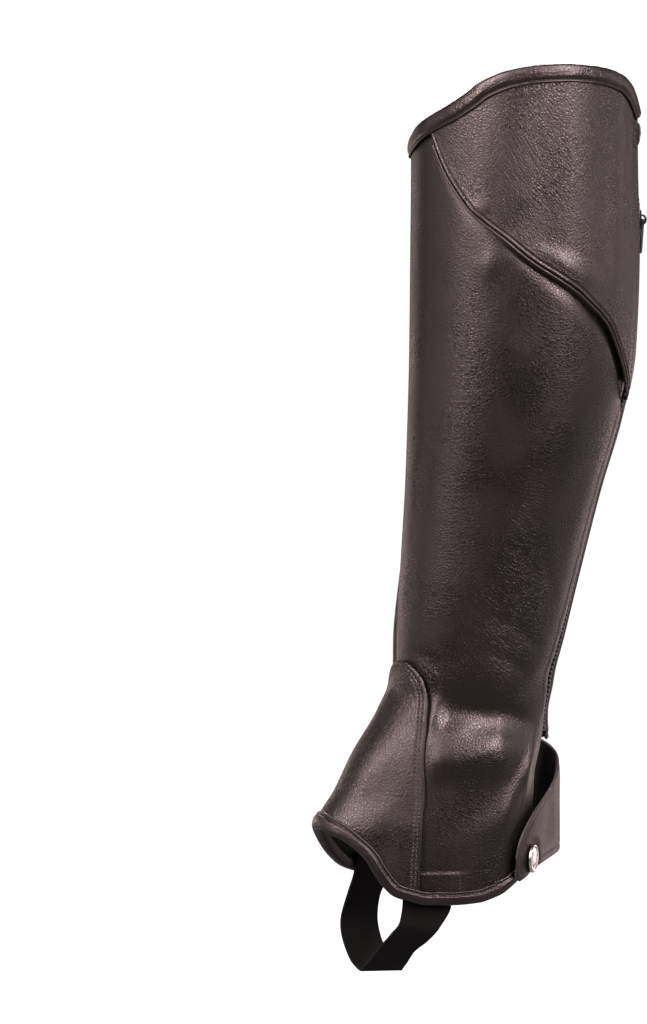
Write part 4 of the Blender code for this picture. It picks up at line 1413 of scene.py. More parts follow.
@dataclass
class Panels:
    """The leather panels and their topstitching, with distances in from an edge."""

    strip: Line = Line(((60, 4.5), (90, 4.5), (130, 6.5), (400, 6.5)))
    front_row: float = 2.8
    overlay_row: float = 1.9
    vamp_rows: tuple[float, float] = (2.6, 4.5)
    inner_zip_row: float = 6.5
    arch_row: float = 2.6
    box_left: float = 57.5
    box_right: float = 76.5
    box_top: float = 27.0
    box_lift: float = 0.55
    sunk: float = -0.22
    arch_shoulder: float = 121.0
    outer_creases: tuple[Fold, ...] = folds(
        (76, 130, 42, 26, 0, -2.6), (60, 113, 24, 9, -3, -1.5), (88, 102, 20, 8, -22, -2.2),
        (66, 82, 24, 10, -12, 0.9), (104, 103, 9, 4, -30, -1), (62, 96, 10, 4, 40, 0.7),
        (86, 91, 9, 4, 52, 0.8), (109, 78, 15, 2.4, 60, 1.3), (98, 62, 14, 3, 62, 1),
        (108, 66, 12, 2.4, 86, 0.9), (100, 66, 11, 2.2, 66, -1), (92, 130, 13, 3, -34, -0.5),
        (99, 143, 12, 2.6, -36, -0.5), (84, 150, 12, 2.8, -28, -0.4), (40, 128, 9, 2.4, -22, -0.5),
        (34, 133, 9, 2, -12, -0.4), (90, 180, 20, 4, -52, -0.35), (104, 176, 16, 3, -62, -0.35),
        (60, 215, 40, 12, 80, -0.7), (92, 235, 45, 10, 76, 0.6), (112, 215, 40, 8, 74, -0.5),
        (30, 250, 60, 12, 86, 0.5),
    )
    wrinkled: tuple[Fold, ...] = folds(
        (92, 142, 17, 17, 0, 1), (104, 165, 13, 18, 0, 0.9), (42, 127, 11, 9, 0, 0.9),
        (98, 112, 12, 9, 0, 0.8), (86, 195, 16, 22, 0, 0.5), (60, 160, 18, 20, 0, 0.35),
    )

    def under_seam(self, piece: Piece, angle: Array, height: Array, out: Array) -> Array:
        """Sinks the outer panel along the overlay's seam, and raises its patch and zip strip.

        Args:
            piece: The outer panel; not used.
            angle, height: Its grid's places.
            out: Its outer face so far.

        Returns:
            The outer face with all three.
        """
        box = soft_step((angle - self.box_left) / 1.4) * soft_step((self.box_right - angle) / 1.4)
        out = out + self.box_lift * (box * soft_step((self.box_top - height) / 0.9))
        below = PATTERN.overlay_seam(angle) - height
        deep = 0.5 + 1.1 * soft_step((angle - 50) / 35)
        out = out - deep * np.exp(-((np.maximum(below - 2.0, 0) / 5.0) ** 2)) * (below > -8)
        smooth = LEG.plain(angle, height)
        distance = near(smooth, smooth[:, -1])
        row = np.exp(-(((distance - self.strip(height)) / 0.8) ** 2))
        return out - 0.10 * row + 0.35 * np.exp(-(((distance - 3.2) / 3.2) ** 2))

    def outer_panel(self) -> Piece:
        """The outer panel, from the front seam to the zip."""
        return Piece(
            "outer_leather", "outer_panel", PATTERN.front_seam, PATTERN.outer_back, PATTERN.hem,
            PATTERN.outer_top, 0.0, PATTERN.panel, columns=118, rows=230, low_share=1.35,
            creases=self.outer_creases, wrinkled=self.wrinkled,
            edges={
                Edge.LAST: EdgeFinish(1.0, 2.2),
                Edge.FIRST: EdgeFinish(0.95, 1.5, (self.front_row,)),
            },
            face="panel_leather", extra=self.under_seam, rests_on=("inner_suede", "hem_roll"),
        )

    def inner_panel(self) -> Piece:
        """The inner panel, from the zip to the front seam."""
        return Piece(
            "inner_suede", "inner_panel", PATTERN.inner_back, PATTERN.inner_front,
            PATTERN.inner_low, PATTERN.top, 0.0, PATTERN.panel, columns=110, rows=180,
            slot=Slot.INNER, face="black_suede", low_share=1.2,
            creases=folds(
                (-24, 142, 24, 7, 90, 1), (-62, 113, 18, 5, 10, -1), (-84, 100, 14, 4, -20, 0.8),
                (-90, 135, 16, 4, 30, -0.6), (-108, 150, 18, 4, 24, -0.5),
                (-60, 260, 50, 10, 82, 0.5), (-120, 300, 60, 12, 86, -0.7),
                (-80, 330, 50, 12, 84, 0.6),
            ),
            edges={
                Edge.FIRST: EdgeFinish(rows=(self.inner_zip_row,)),
                Edge.LOW: EdgeFinish(rows=(self.arch_row,)),
            },
            rests_on=("outer_leather", "hem_roll"),
        )

    def top_overlay(self) -> Piece:
        """The overlay of the raised outer top."""
        return Piece(
            "overlay_leather", "top_overlay", lambda h: PATTERN.overlay_front + 0 * h,
            PATTERN.outer_back, PATTERN.overlay_seam, PATTERN.top, PATTERN.lapped,
            PATTERN.overlay, columns=130, rows=130,
            creases=folds(
                (50, 386, 38, 9, 76, 0.5), (77, 380, 46, 8, 88, -0.6), (93, 378, 52, 8, 88, 0.5),
                (107, 372, 52, 5, 90, -0.7), (117, 352, 50, 4.5, 86, 0.7), (43, 356, 7, 4, 40, 0.9),
                (84, 332, 13, 4, -28, 1.1), (62, 350, 10, 4, 60, -0.7),
            ),
            wrinkled=folds(
                (100, 345, 14, 30, 0, 0.6), (62, 375, 26, 34, 0, 0.5), (88, 400, 20, 20, 0, 0.4),
            ),
            # The overlay takes a lighter, shinier copy of the grained leather: painted light.
            face="lit_top_leather",
            edges={
                Edge.LOW: EdgeFinish(0.85, 0.8, (self.overlay_row,), 0.42, 0.42, 0.10, 0.9),
                Edge.LAST: EdgeFinish(1.0, 2.2, (6.5,), 0.14, 0.8, 0.2, 3.0),
            },
            rests_on=("outer_leather", "top_roll"),
        )

    def front_vamp(self) -> Piece:
        """The vamp over the instep."""
        return Piece(
            "vamp_leather", "vamp", partial(PATTERN.vamp_side, -1), partial(PATTERN.vamp_side, 1),
            PATTERN.hem, PATTERN.vamp_top, PATTERN.vamp_lift, PATTERN.vamp, columns=150, rows=120,
            creases=folds(
                (-4, 108, 14, 4, 80, 0.5), (4, 92, 12, 4, 84, -0.4), (34, 66, 18, 7, 78, -0.6),
                (18, 72, 16, 6, 80, 0.4), (-34, 66, 18, 7, -78, -0.5), (46, 44, 14, 6, 84, -0.6),
            ),
            wrinkled=folds((12, 80, 16, 12, 0, 0.25), (10, 110, 10, 8, 0, 0.35)),
            extra=self.vamp_border, lay=self.lay_vamp, rests_on=("outer_leather", "inner_suede"),
        )

    def build(self) -> None:
        """Makes the four panels and sews them."""
        self.outer, self.inner = self.outer_panel(), self.inner_panel()
        self.overlay, self.vamp = self.top_overlay(), self.front_vamp()
        for piece in (self.outer, self.inner, self.overlay, self.vamp):
            piece.build()
        self.sew_vamp()
        self.sew_overlay()
        self.sew_outer()
        self.sew_box()
        self.sew_inner()

    def vamp_outline(self) -> tuple[Array, Array]:
        """The vamp's sides and top as one line, from the inner side's hem to the outer side's.

        Returns:
            Angles and heights.
        """
        rise = np.linspace(0, 1, 90)
        inner_top, outer_top = 105.0, 108.0
        inner_low = float(PATTERN.hem(PATTERN.vamp_side(-1, 14.0)))
        outer_low = float(PATTERN.hem(PATTERN.vamp_side(1, 12.0)))
        heights = inner_low + (inner_top - inner_low) * rise
        across = np.linspace(-25, 39, 90)
        falls = outer_top - (outer_top - outer_low) * rise
        angles = [PATTERN.vamp_side(-1, heights), across, PATTERN.vamp_side(1, falls)]
        levels = [heights, PATTERN.vamp_top(across), falls]
        return LEG.even(np.concatenate(angles), np.concatenate(levels), 1.0)

    def lay_vamp(self, rise: Array, spread: Array) -> tuple[Array, Array]:
        """The vamp's grid, spread between its hem, its two sides and the top of its arch.

        Args:
            rise: Shares of the way up.
            spread: Shares of the way across.

        Returns:
            Angles and heights, rows by columns.
        """
        angles, heights = self.vamp_outline()
        peak = int(np.argmax(heights))
        left = peak - int(np.argmax(heights[peak::-1] < self.arch_shoulder))
        right = peak + int(np.argmax(heights[peak:] < self.arch_shoulder))
        first = LEG.shared(angles[: left + 1], heights[: left + 1], rise)
        last = LEG.shared(angles[right:][::-1], heights[right:][::-1], rise)
        high = LEG.shared(angles[left : right + 1], heights[left : right + 1], spread)
        hem = np.linspace(angles[0], angles[-1], 200)
        low = LEG.shared(hem, PATTERN.hem(hem), spread)
        up, across = rise[:, None, None], spread[None, :, None]
        corners = (
            (1 - up) * ((1 - across) * low[0] + across * low[-1])
            + up * ((1 - across) * high[0] + across * high[-1])
        )
        sides = (1 - across) * first[:, None] + across * last[:, None]
        found = (1 - up) * low + up * high + sides - corners
        return found[..., 0], found[..., 1]

    def vamp_border(self, piece: Piece, angle: Array, height: Array, out: Array) -> Array:
        """The vamp's turned edge and its two sewn rows, which follow its whole outline.

        Args:
            piece: The vamp.
            angle, height: Its grid's places.
            out: Its outer face so far.

        Returns:
            The outer face with its border.
        """
        angles, heights = self.vamp_outline()
        smooth = LEG.place(angle, height, piece.lift)
        distance = near(smooth, LEG.place(angles, heights, piece.lift))
        border = EdgeFinish(0.9, 0.9, self.vamp_rows, 0.22, 0.45, 0.06, 0.7)
        return out + border.shape(distance)

    def sew_vamp(self) -> None:
        """Sews the two rows round the vamp, down to its binding."""
        sewing = Sewing(
            "vamp_stitches", pitch=2.1, length=1.15, radius=0.32, hole=0.60, sink=0.0,
            thread="vamp_thread",
        )
        angles, heights = self.vamp_outline()
        for distance in self.vamp_rows:
            a, h = LEG.inset(angles, heights, distance, Hand.RIGHT)
            keep = h > PATTERN.hem(a) + 5.4
            sewing.row(a[keep], h[keep], self.vamp.over(-0.13))
        sewing.finish()

    def sew_overlay(self) -> None:
        """Sews the overlay's seam, and its edge along the zip."""
        sewing = Sewing("overlay_stitches", pitch=2.2, length=1.6, radius=0.24, hole=0.3)
        angles = np.linspace(18, float(PATTERN.outer_back(263.0)) - 2.5, 160)
        a, h = LEG.inset(angles, PATTERN.overlay_seam(angles), self.overlay_row, Hand.LEFT)
        sewing.row(a, h, self.overlay.over(self.sunk))
        self.along_zip(sewing, self.overlay, 262.0, 395.0)
        sewing.finish()

    def sew_outer(self) -> None:
        """Sews the outer panel along the zip and beside the front seam."""
        sewing = Sewing(
            "outer_stitches", pitch=2.4, radius=0.24, hole=0.36, thread="binding_thread"
        )
        self.along_zip(sewing, self.outer, 34.0, 254.0)
        heights = np.linspace(132, 384, 160)
        a, h = LEG.inset(PATTERN.front_seam(heights), heights, self.front_row, Hand.RIGHT)
        sewing.row(a, h, self.outer.over(self.sunk))
        sewing.finish()

    def sew_box(self) -> None:
        """Sews the top and back of the patch above the hem."""
        sewing = Sewing(
            "box_stitches", pitch=2.1, length=1.2, radius=0.24, hole=0.40, thread="vamp_thread"
        )
        left, right, top = self.box_left + 1.0, self.box_right - 1.0, self.box_top - 1.1
        corners = ((left, top), (right, top), (right, 17.4))
        for (a0, h0), (a1, h1) in zip(corners, corners[1:]):
            line = np.linspace(a0, a1, 20), np.linspace(h0, h1, 20)
            sewing.row(*line, self.outer.over(self.box_lift - 0.05))
        sewing.finish()

    def sew_inner(self) -> None:
        """Sews the inner panel along the zip and over the heel's arch."""
        sewing = Sewing("inner_stitches", thread="black_thread")
        heights = np.linspace(96, 386, 160)
        back = PATTERN.inner_back(heights) + 360.0
        a, h = LEG.inset(back, heights, self.inner_zip_row, Hand.RIGHT)
        sewing.row(a, h, lambda x, y: self.inner.skin(x - 360.0, y) + self.sunk)
        angles = np.linspace(-205, -112, 120)
        a, h = LEG.inset(angles, PATTERN.heel_arch(angles), self.arch_row, Hand.LEFT)
        sewing.row(a, h, self.inner.over(self.sunk))
        sewing.finish(Slot.INNER)

    def along_zip(self, sewing: Sewing, piece: Piece, low: float, high: float) -> None:
        """Sews the row that holds the zip, along a piece's back edge.

        Args:
            sewing: The sewing to add to.
            piece: The piece that it is sewn through.
            low: Where the row starts.
            high: Where it ends.
        """
        heights = np.linspace(low, high, 220)
        a, h = LEG.inset(PATTERN.outer_back(heights), heights, self.strip(heights), Hand.LEFT)
        sewing.row(a, h, piece.over(0.05))
# --- bindings and piping


@dataclass
class Binding:
    """A strip rolled over an edge, whose waves are each a length and how far it is drawn in."""

    name: str
    node: str
    angles: Array
    line: Line
    inward: Hand
    inside: Callable[[float], float]
    outside: Callable[[float], float]
    reach: float
    roll: float = 1.9
    thick: float = 0.9
    slot_gap: float = 0.4
    step: float = 0.9
    turned_in: float = 6.0
    seed: int = 3
    waves: Pairs = ((2.4, 0.02), (5.3, 0.03), (8.1, 0.04), (17.0, 0.05), (41.0, 0.06))

    def profile(self, angle: float, pucker: float) -> Array:
        """The strip's section at an angle.

        Args:
            angle: The angle.
            pucker: How far its sewn side is drawn in here.

        Returns:
            Ring points, as distance over the leather and distance out.
        """
        slot_in = self.inside(angle) - self.slot_gap
        slot_out = self.outside(angle) + self.slot_gap
        face_in = slot_in - self.thick
        face_out = slot_out + self.thick
        middle = (face_in + face_out) / 2
        half = (face_out - face_in) / 2
        reach = self.reach
        crest = face_out + 0.50 - pucker
        outer = [
            (reach, slot_out + 0.05),
            (reach + 0.05, face_out - 0.45),
            (reach - 0.12, face_out - 0.12),
            (reach - 0.45, face_out + 0.02),
            (reach - 0.80, face_out - 0.08),
            (reach - 1.10, face_out - 0.50),
            (reach - 1.50, face_out - 0.52),
            (reach - 1.95, face_out - 0.06 - pucker * 0.5),
            (reach * 0.60, crest - 0.04),
            (reach * 0.45, crest),
            (reach * 0.28, crest - 0.04),
            (reach * 0.12, crest - 0.16),
            (0.2, face_out + 0.16),
        ]
        turn = np.radians(np.linspace(72, -72, 9))
        outer += [(-self.roll * math.cos(t), middle + half * math.sin(t) * 0.98) for t in turn]
        inner = [
            (0.4, face_in),
            (reach * 0.45, face_in - 0.05),
            (reach * 0.85, face_in),
            (reach * 0.85, slot_in),
            (-0.5, slot_in),
            (-0.5, slot_out),
        ]
        return np.array(outer + inner)

    def build(self) -> Object:
        """Makes the binding.

        Returns:
            Its object.
        """
        angles, heights = LEG.even(self.angles, self.line(self.angles), self.step)
        rng = np.random.default_rng(self.seed)
        places = np.arange(len(angles)) * self.step
        drawn = sum(
            share * np.sin(math.tau * places / wave + rng.uniform(0, math.tau))
            for wave, share in self.waves
        )
        section = np.stack([self.profile(angle, pull) for angle, pull in zip(angles, drawn)])
        across, out = section[..., 0], section[..., 1]
        rings = rings_along(angles, heights, self.inward, across, out)
        # Painted highlight on the roll's crest, its outermost points.
        painted_highlight = np.clip(out - out.max(axis=1, keepdims=True) + 0.6, 0, 1) * 0.6
        mesh = swept_mesh(self.name, rings, painted_highlight)
        obj = hang_up(mesh, ["binding_leather"], Slot.BINDING, self.node)
        return obj

    def sew(self, name: str, from_reach: float = 1.35, lift: float = 0.95) -> None:
        """Sews the row along the strip's sewn side.

        Args:
            name: The sewing's name.
            from_reach: How far the row is from the strip's sewn side.
            lift: How far it stands out from the clasped face.
        """
        sewing = Sewing(
            name, pitch=2.2, length=1.7, radius=0.22, hole=0.26, sink=0.02,
            thread="binding_thread",
        )
        distance = self.reach - from_reach
        angles, heights = LEG.inset(self.angles, self.line(self.angles), distance, self.inward)
        sewing.row(
            angles[3:-3], heights[3:-3], lambda a, h: np.array([self.outside(x) + lift for x in a])
        )
        sewing.finish(Slot.BINDING)


def rings_along(angles: Array, heights: Array, hand: Hand, across: Array, out: Array) -> Array:
    """Rings of points that stand across a line on the leg.

    Args:
        angles, heights: The line's places.
        hand: The side of the line that across counts towards.
        across: The ring points' distances across the line.
        out: Their distances outwards.

    Returns:
        Steps by ring points, in millimetres.
    """
    side_angle, side_height = LEG.inset(angles, heights, 1.0, hand)
    turn, rise = (side_angle - angles)[:, None], (side_height - heights)[:, None]
    return LEG.place(angles[:, None] + turn * across, heights[:, None] + rise * across, out)


@dataclass
class Piping:
    """The cord under the overlay's edge, covered with leather."""

    start: float = 17.0
    end_height: float = 263.5
    end_gap: float = 1.2
    step: float = 0.8
    sides: int = 12
    across: float = -0.95
    over: float = 0.80
    half_wide: float = 0.72
    half_high: float = 0.85
    highlight_share: float = 0.7

    def build(self) -> None:
        """Makes the piping."""
        last = float(PATTERN.outer_back(self.end_height)) - self.end_gap
        angles = np.linspace(self.start, last, 400)
        angles, heights = LEG.even(angles, PATTERN.overlay_seam(angles), self.step)
        round_it = np.radians(np.linspace(0, 360, self.sides + 1)[:-1])
        across = self.across + self.half_wide * np.cos(round_it)
        out = PATTERN.lapped + self.over + self.half_high * np.sin(round_it)
        rings = rings_along(angles, heights, Hand.LEFT, across, out)
        # Painted highlight on the outer half of the cord.
        painted_highlight = np.clip(np.sin(round_it), 0, 1) * self.highlight_share
        mesh = swept_mesh("seam_piping", rings, np.broadcast_to(painted_highlight, rings.shape[:2]))
        hang_up(mesh, ["binding_leather"], Slot.BINDING, "overlay_welt")


@dataclass
class Bindings:
    """The bindings of the top line and of the hem."""

    top_reach: float = 7.0
    hem_reach: float = 5.2
    overlay_stands: float = 1.9
    hem_angles: tuple[float, float] = (-104.0, 110.0)

    def top_outside(self, angle: float) -> float:
        """Outer face that the top binding clasps."""
        return PATTERN.panel + float(soft_step((angle + 12) / 22)) * self.overlay_stands

    def top_inside(self, angle: float) -> float:
        """Inner face that the top binding clasps."""
        return float(soft_step((angle - 16) / 16)) * PATTERN.lapped

    def hem_outside(self, angle: float) -> float:
        """Outer face that the hem binding clasps."""
        vamp = 1 - float(soft_step((abs(angle) - 63) / 5))
        return PATTERN.panel + vamp * (PATTERN.vamp_lift - PATTERN.panel + PATTERN.vamp)

    def build(self) -> None:
        """Makes and sews both bindings."""
        ends = PATTERN.top_end(ZipSide.INNER), PATTERN.top_end(ZipSide.OUTER)
        top = Binding(
            "top_roll", "top_binding", np.linspace(*ends, 700), PATTERN.top, Hand.RIGHT,
            self.top_inside, self.top_outside, self.top_reach,
        )
        hem = Binding(
            "hem_roll", "hem_binding", np.linspace(*self.hem_angles, 500), PATTERN.hem,
            Hand.LEFT, lambda a: 0.0, self.hem_outside, self.hem_reach, seed=8,
        )
        for binding, row in ((top, "top_stitches"), (hem, "hem_stitches")):
            binding.build()
            binding.sew(row)


# --- the zip


def frame_at(angle: float, height: float, out: float) -> Matrix:
    """World matrix of a place on the leg: X outwards, Y round the leg, Z up the leather.

    Args:
        angle: Angle round the leg.
        height: Height.
        out: Distance outwards.

    Returns:
        The matrix.
    """
    normal = Vector(LEG.normal(angle, height))
    round_it = Vector(LEG.one_round(angle, height))
    up = normal.cross(round_it).normalized()
    round_it = up.cross(normal).normalized()
    matrix = Matrix((normal, round_it, up)).transposed().to_4x4()
    matrix.translation = Vector(in_metres(LEG.place(angle, height, out)))
    return matrix


@dataclass(frozen=True)
class Block:
    """A block's sides and its middle, along the axes of the place it is set at."""

    size: tuple[float, float, float]
    centre: tuple[float, float, float] = (0.0, 0.0, 0.0)

    def add(self, bm: BMesh, place: Matrix, side: int = 1) -> None:
        """Adds the block to a bmesh.

        Args:
            bm: The bmesh.
            place: The place's matrix.
            side: 1, or -1 for the place's other side.
        """
        x, y, z = self.centre
        middle = Matrix.Translation(Vector((x, side * y, z)) * MM)
        matrix = place @ middle @ Matrix.Diagonal((*(length * MM for length in self.size), 1.0))
        bmesh.ops.create_cube(bm, size=1.0, matrix=matrix)


def shifted(place: Matrix, x: float = 0.0, z: float = 0.0) -> Matrix:
    """A place moved along its own axes, in millimetres."""
    return place @ Matrix.Translation(Vector((x, 0, z)) * MM)


def bevelled(bm: BMesh, edges: list[bmesh.types.BMEdge], width: float, segments: int = 2) -> None:
    """Rounds some edges by a width in millimetres, in some steps."""
    bmesh.ops.bevel(
        bm, geom=edges, offset=width * MM, offset_type="OFFSET", segments=segments, profile=0.5,
        affect="EDGES", material=-1, clamp_overlap=True,
    )


def round_off(bm: BMesh, width: float, sharp: float = 0.6) -> None:
    """Rounds every edge of a bmesh that turns by more than a sharp angle in radians."""
    edges = [edge for edge in bm.edges if edge.is_manifold and edge.calc_face_angle() > sharp]
    bevelled(bm, edges, width)


@dataclass
class Zip:
    """The zip up the back, whose blocks have X outwards, Y round the leg and Z up."""

    low: float = 92.0
    under_binding: float = 8.0
    tape_below: float = 3.0
    tape_wide: float = 11.0
    tape_thick: float = 0.8
    tape_out: float = -0.5
    tooth_pitch: float = 2.3
    tooth_out: float = -0.7
    tooth: tuple[Block, ...] = (
        Block((1.9, 1.5, 1.45), (0.85, 0.15, 0.0)),
        Block((1.7, 1.6, 1.05), (0.75, 1.5, 0.0)),
    )
    tooth_round: float = 0.28
    slider_height: float = 350.0
    slider_lift: float = 2.0
    slider_thick: float = 1.2
    plate: Block = Block((1.2, 6.0, 10.0), (0.6, 0.0, 0.0))
    plate_corner: float = 1.7
    slider_round: float = 0.22
    flange: Block = Block((1.5, 0.7, 7.6), (-0.55, 2.45, 0.0))
    bridge: Pairs = ((-1.0, 2.0), (1.0, 2.0), (1.0, 3.0), (-1.0, 3.0))
    pivot_lift: float = 1.0
    pull_lean: float = 5.0
    pull_bar: Block = Block((0.9, 4.6, 1.0))
    pull_eye: Block = Block((0.9, 0.9, 5.2), (0.0, 1.85, -2.1))
    pull_plate: Block = Block((0.9, 4.6, 10.5), (0.0, 0.0, -9.45))
    pull_end: float = -14.7
    pull_rib: tuple[float, float, float] = (1.26, 3.2, 0.7)
    ribs: tuple[float, ...] = (-7.4, -8.9, -10.4, -11.9, -13.4)
    pull_round: float = 0.16
    crisp: float = 50.0

    def top_of(self, side: ZipSide) -> float:
        """Height where a side of the zip ends, under the binding."""
        return float(PATTERN.top(PATTERN.top_end(side))) - self.under_binding

    def raised(self, height: float) -> float:
        """How far the chain is lifted under the slider."""
        return 1.7 * float(soft_step((height - 326) / 20) * soft_step((372 - height) / 16))

    def build(self) -> None:
        """Makes the zip's pieces."""
        for side in ZipSide:
            self.tape(side)
            self.teeth(side)
        self.slider()
        self.pull()

    def tape(self, side: ZipSide) -> None:
        """Makes the tape of one side."""
        start = self.low - self.tape_below
        rise = np.linspace(0, 1, 200)
        heights = start + (self.top_of(side) - self.low + self.tape_below) * rise
        spread = np.linspace(self.tape_wide, 0.0, 13)
        lines = [PATTERN.zip_line(side, heights, distance) for distance in spread]
        if side is ZipSide.INNER:
            lines.reverse()
        angles = np.stack(lines, axis=1)
        points = LEG.place(angles, heights[:, None] + 0 * angles, self.tape_out + 0 * angles)
        carrier = "outer_leather" if side is ZipSide.OUTER else "inner_suede"
        sheet = Sheet(
            f"tape_{side.word}", f"zip_tape_{side.word}", Slot.FABRIC, ("zip_tape",),
            self.tape_thick, (carrier,),
        )
        sheet.build(points, points)

    def teeth(self, side: ZipSide) -> None:
        """Makes the row of teeth of one side, half a pitch above the other side's."""
        bm = bmesh.new()
        height = self.low + (self.tooth_pitch / 2 if side is ZipSide.INNER else 0.0)
        while height < self.top_of(side):
            angle = float(PATTERN.zip_line(side, height, 0.0))
            place = frame_at(angle, height, self.raised(height) + self.tooth_out)
            for block in self.tooth:
                block.add(bm, place, side)
            height += self.tooth_pitch
        round_off(bm, self.tooth_round)
        mesh = mesh_of(bm, f"teeth_{side.word}")
        hang_up(mesh, ["zip_teeth_black"], Slot.ZIP, f"zip_teeth_{side.word}")

    def slider(self) -> None:
        """Makes the slider: a plate with round corners, its two flanges and its bridge."""
        place = frame_at(PATTERN.zip_angle, self.slider_height, self.slider_lift)
        bm = bmesh.new()
        self.plate.add(bm, place)
        thick = self.slider_thick * MM
        corners = [edge for edge in bm.edges if abs(edge.calc_length() - thick) < 1e-6]
        bevelled(bm, corners, self.plate_corner, 5)
        for side in ZipSide:
            self.flange.add(bm, place, side)
        foot = shifted(place, self.slider_thick)
        verts = [bm.verts.new(foot @ (Vector((0, y, z)) * MM)) for y, z in self.bridge]
        face = bm.faces.new(verts)
        axis = (place.to_3x3() @ Vector((0, 1, 0))).normalized()
        bmesh.ops.spin(
            bm, geom=[*verts, *face.edges, face], cent=foot.translation, axis=axis,
            dvec=(0, 0, 0), angle=math.pi, steps=14, use_merge=False,
        )
        bmesh.ops.recalc_face_normals(bm, faces=bm.faces)
        round_off(bm, self.slider_round)
        hang_up(mesh_of(bm, "slider_metal", self.crisp), ["zip_metal_dark"], Slot.ZIP, "zip_slider")

    def pull(self) -> None:
        """Makes the pull tab, with an eye for the bridge and a ribbed grip."""
        place = frame_at(PATTERN.zip_angle, self.slider_height, self.slider_lift)
        place = shifted(place, self.slider_thick + self.pivot_lift)
        place = place @ Matrix.Rotation(math.radians(self.pull_lean), 4, "Y")
        bm = bmesh.new()
        self.pull_bar.add(bm, place)
        for side in ZipSide:
            self.pull_eye.add(bm, place, side)
        self.pull_plate.add(bm, place)
        thick, wide, _ = self.pull_plate.size
        disc = shifted(place, z=self.pull_end) @ Matrix.Rotation(math.radians(90), 4, "Y")
        bmesh.ops.create_cone(
            bm, cap_ends=True, segments=32, radius1=wide / 2 * MM, radius2=wide / 2 * MM,
            depth=thick * MM, matrix=disc,
        )
        for level in self.ribs:
            Block(self.pull_rib, (0.0, 0.0, level)).add(bm, place)
        round_off(bm, self.pull_round)
        mesh = mesh_of(bm, "pull_metal", self.crisp)
        hang_up(mesh, ["zip_metal_dark"], Slot.ZIP, "zip_pull", Body.PULL)


# --- the heel flap and the strap


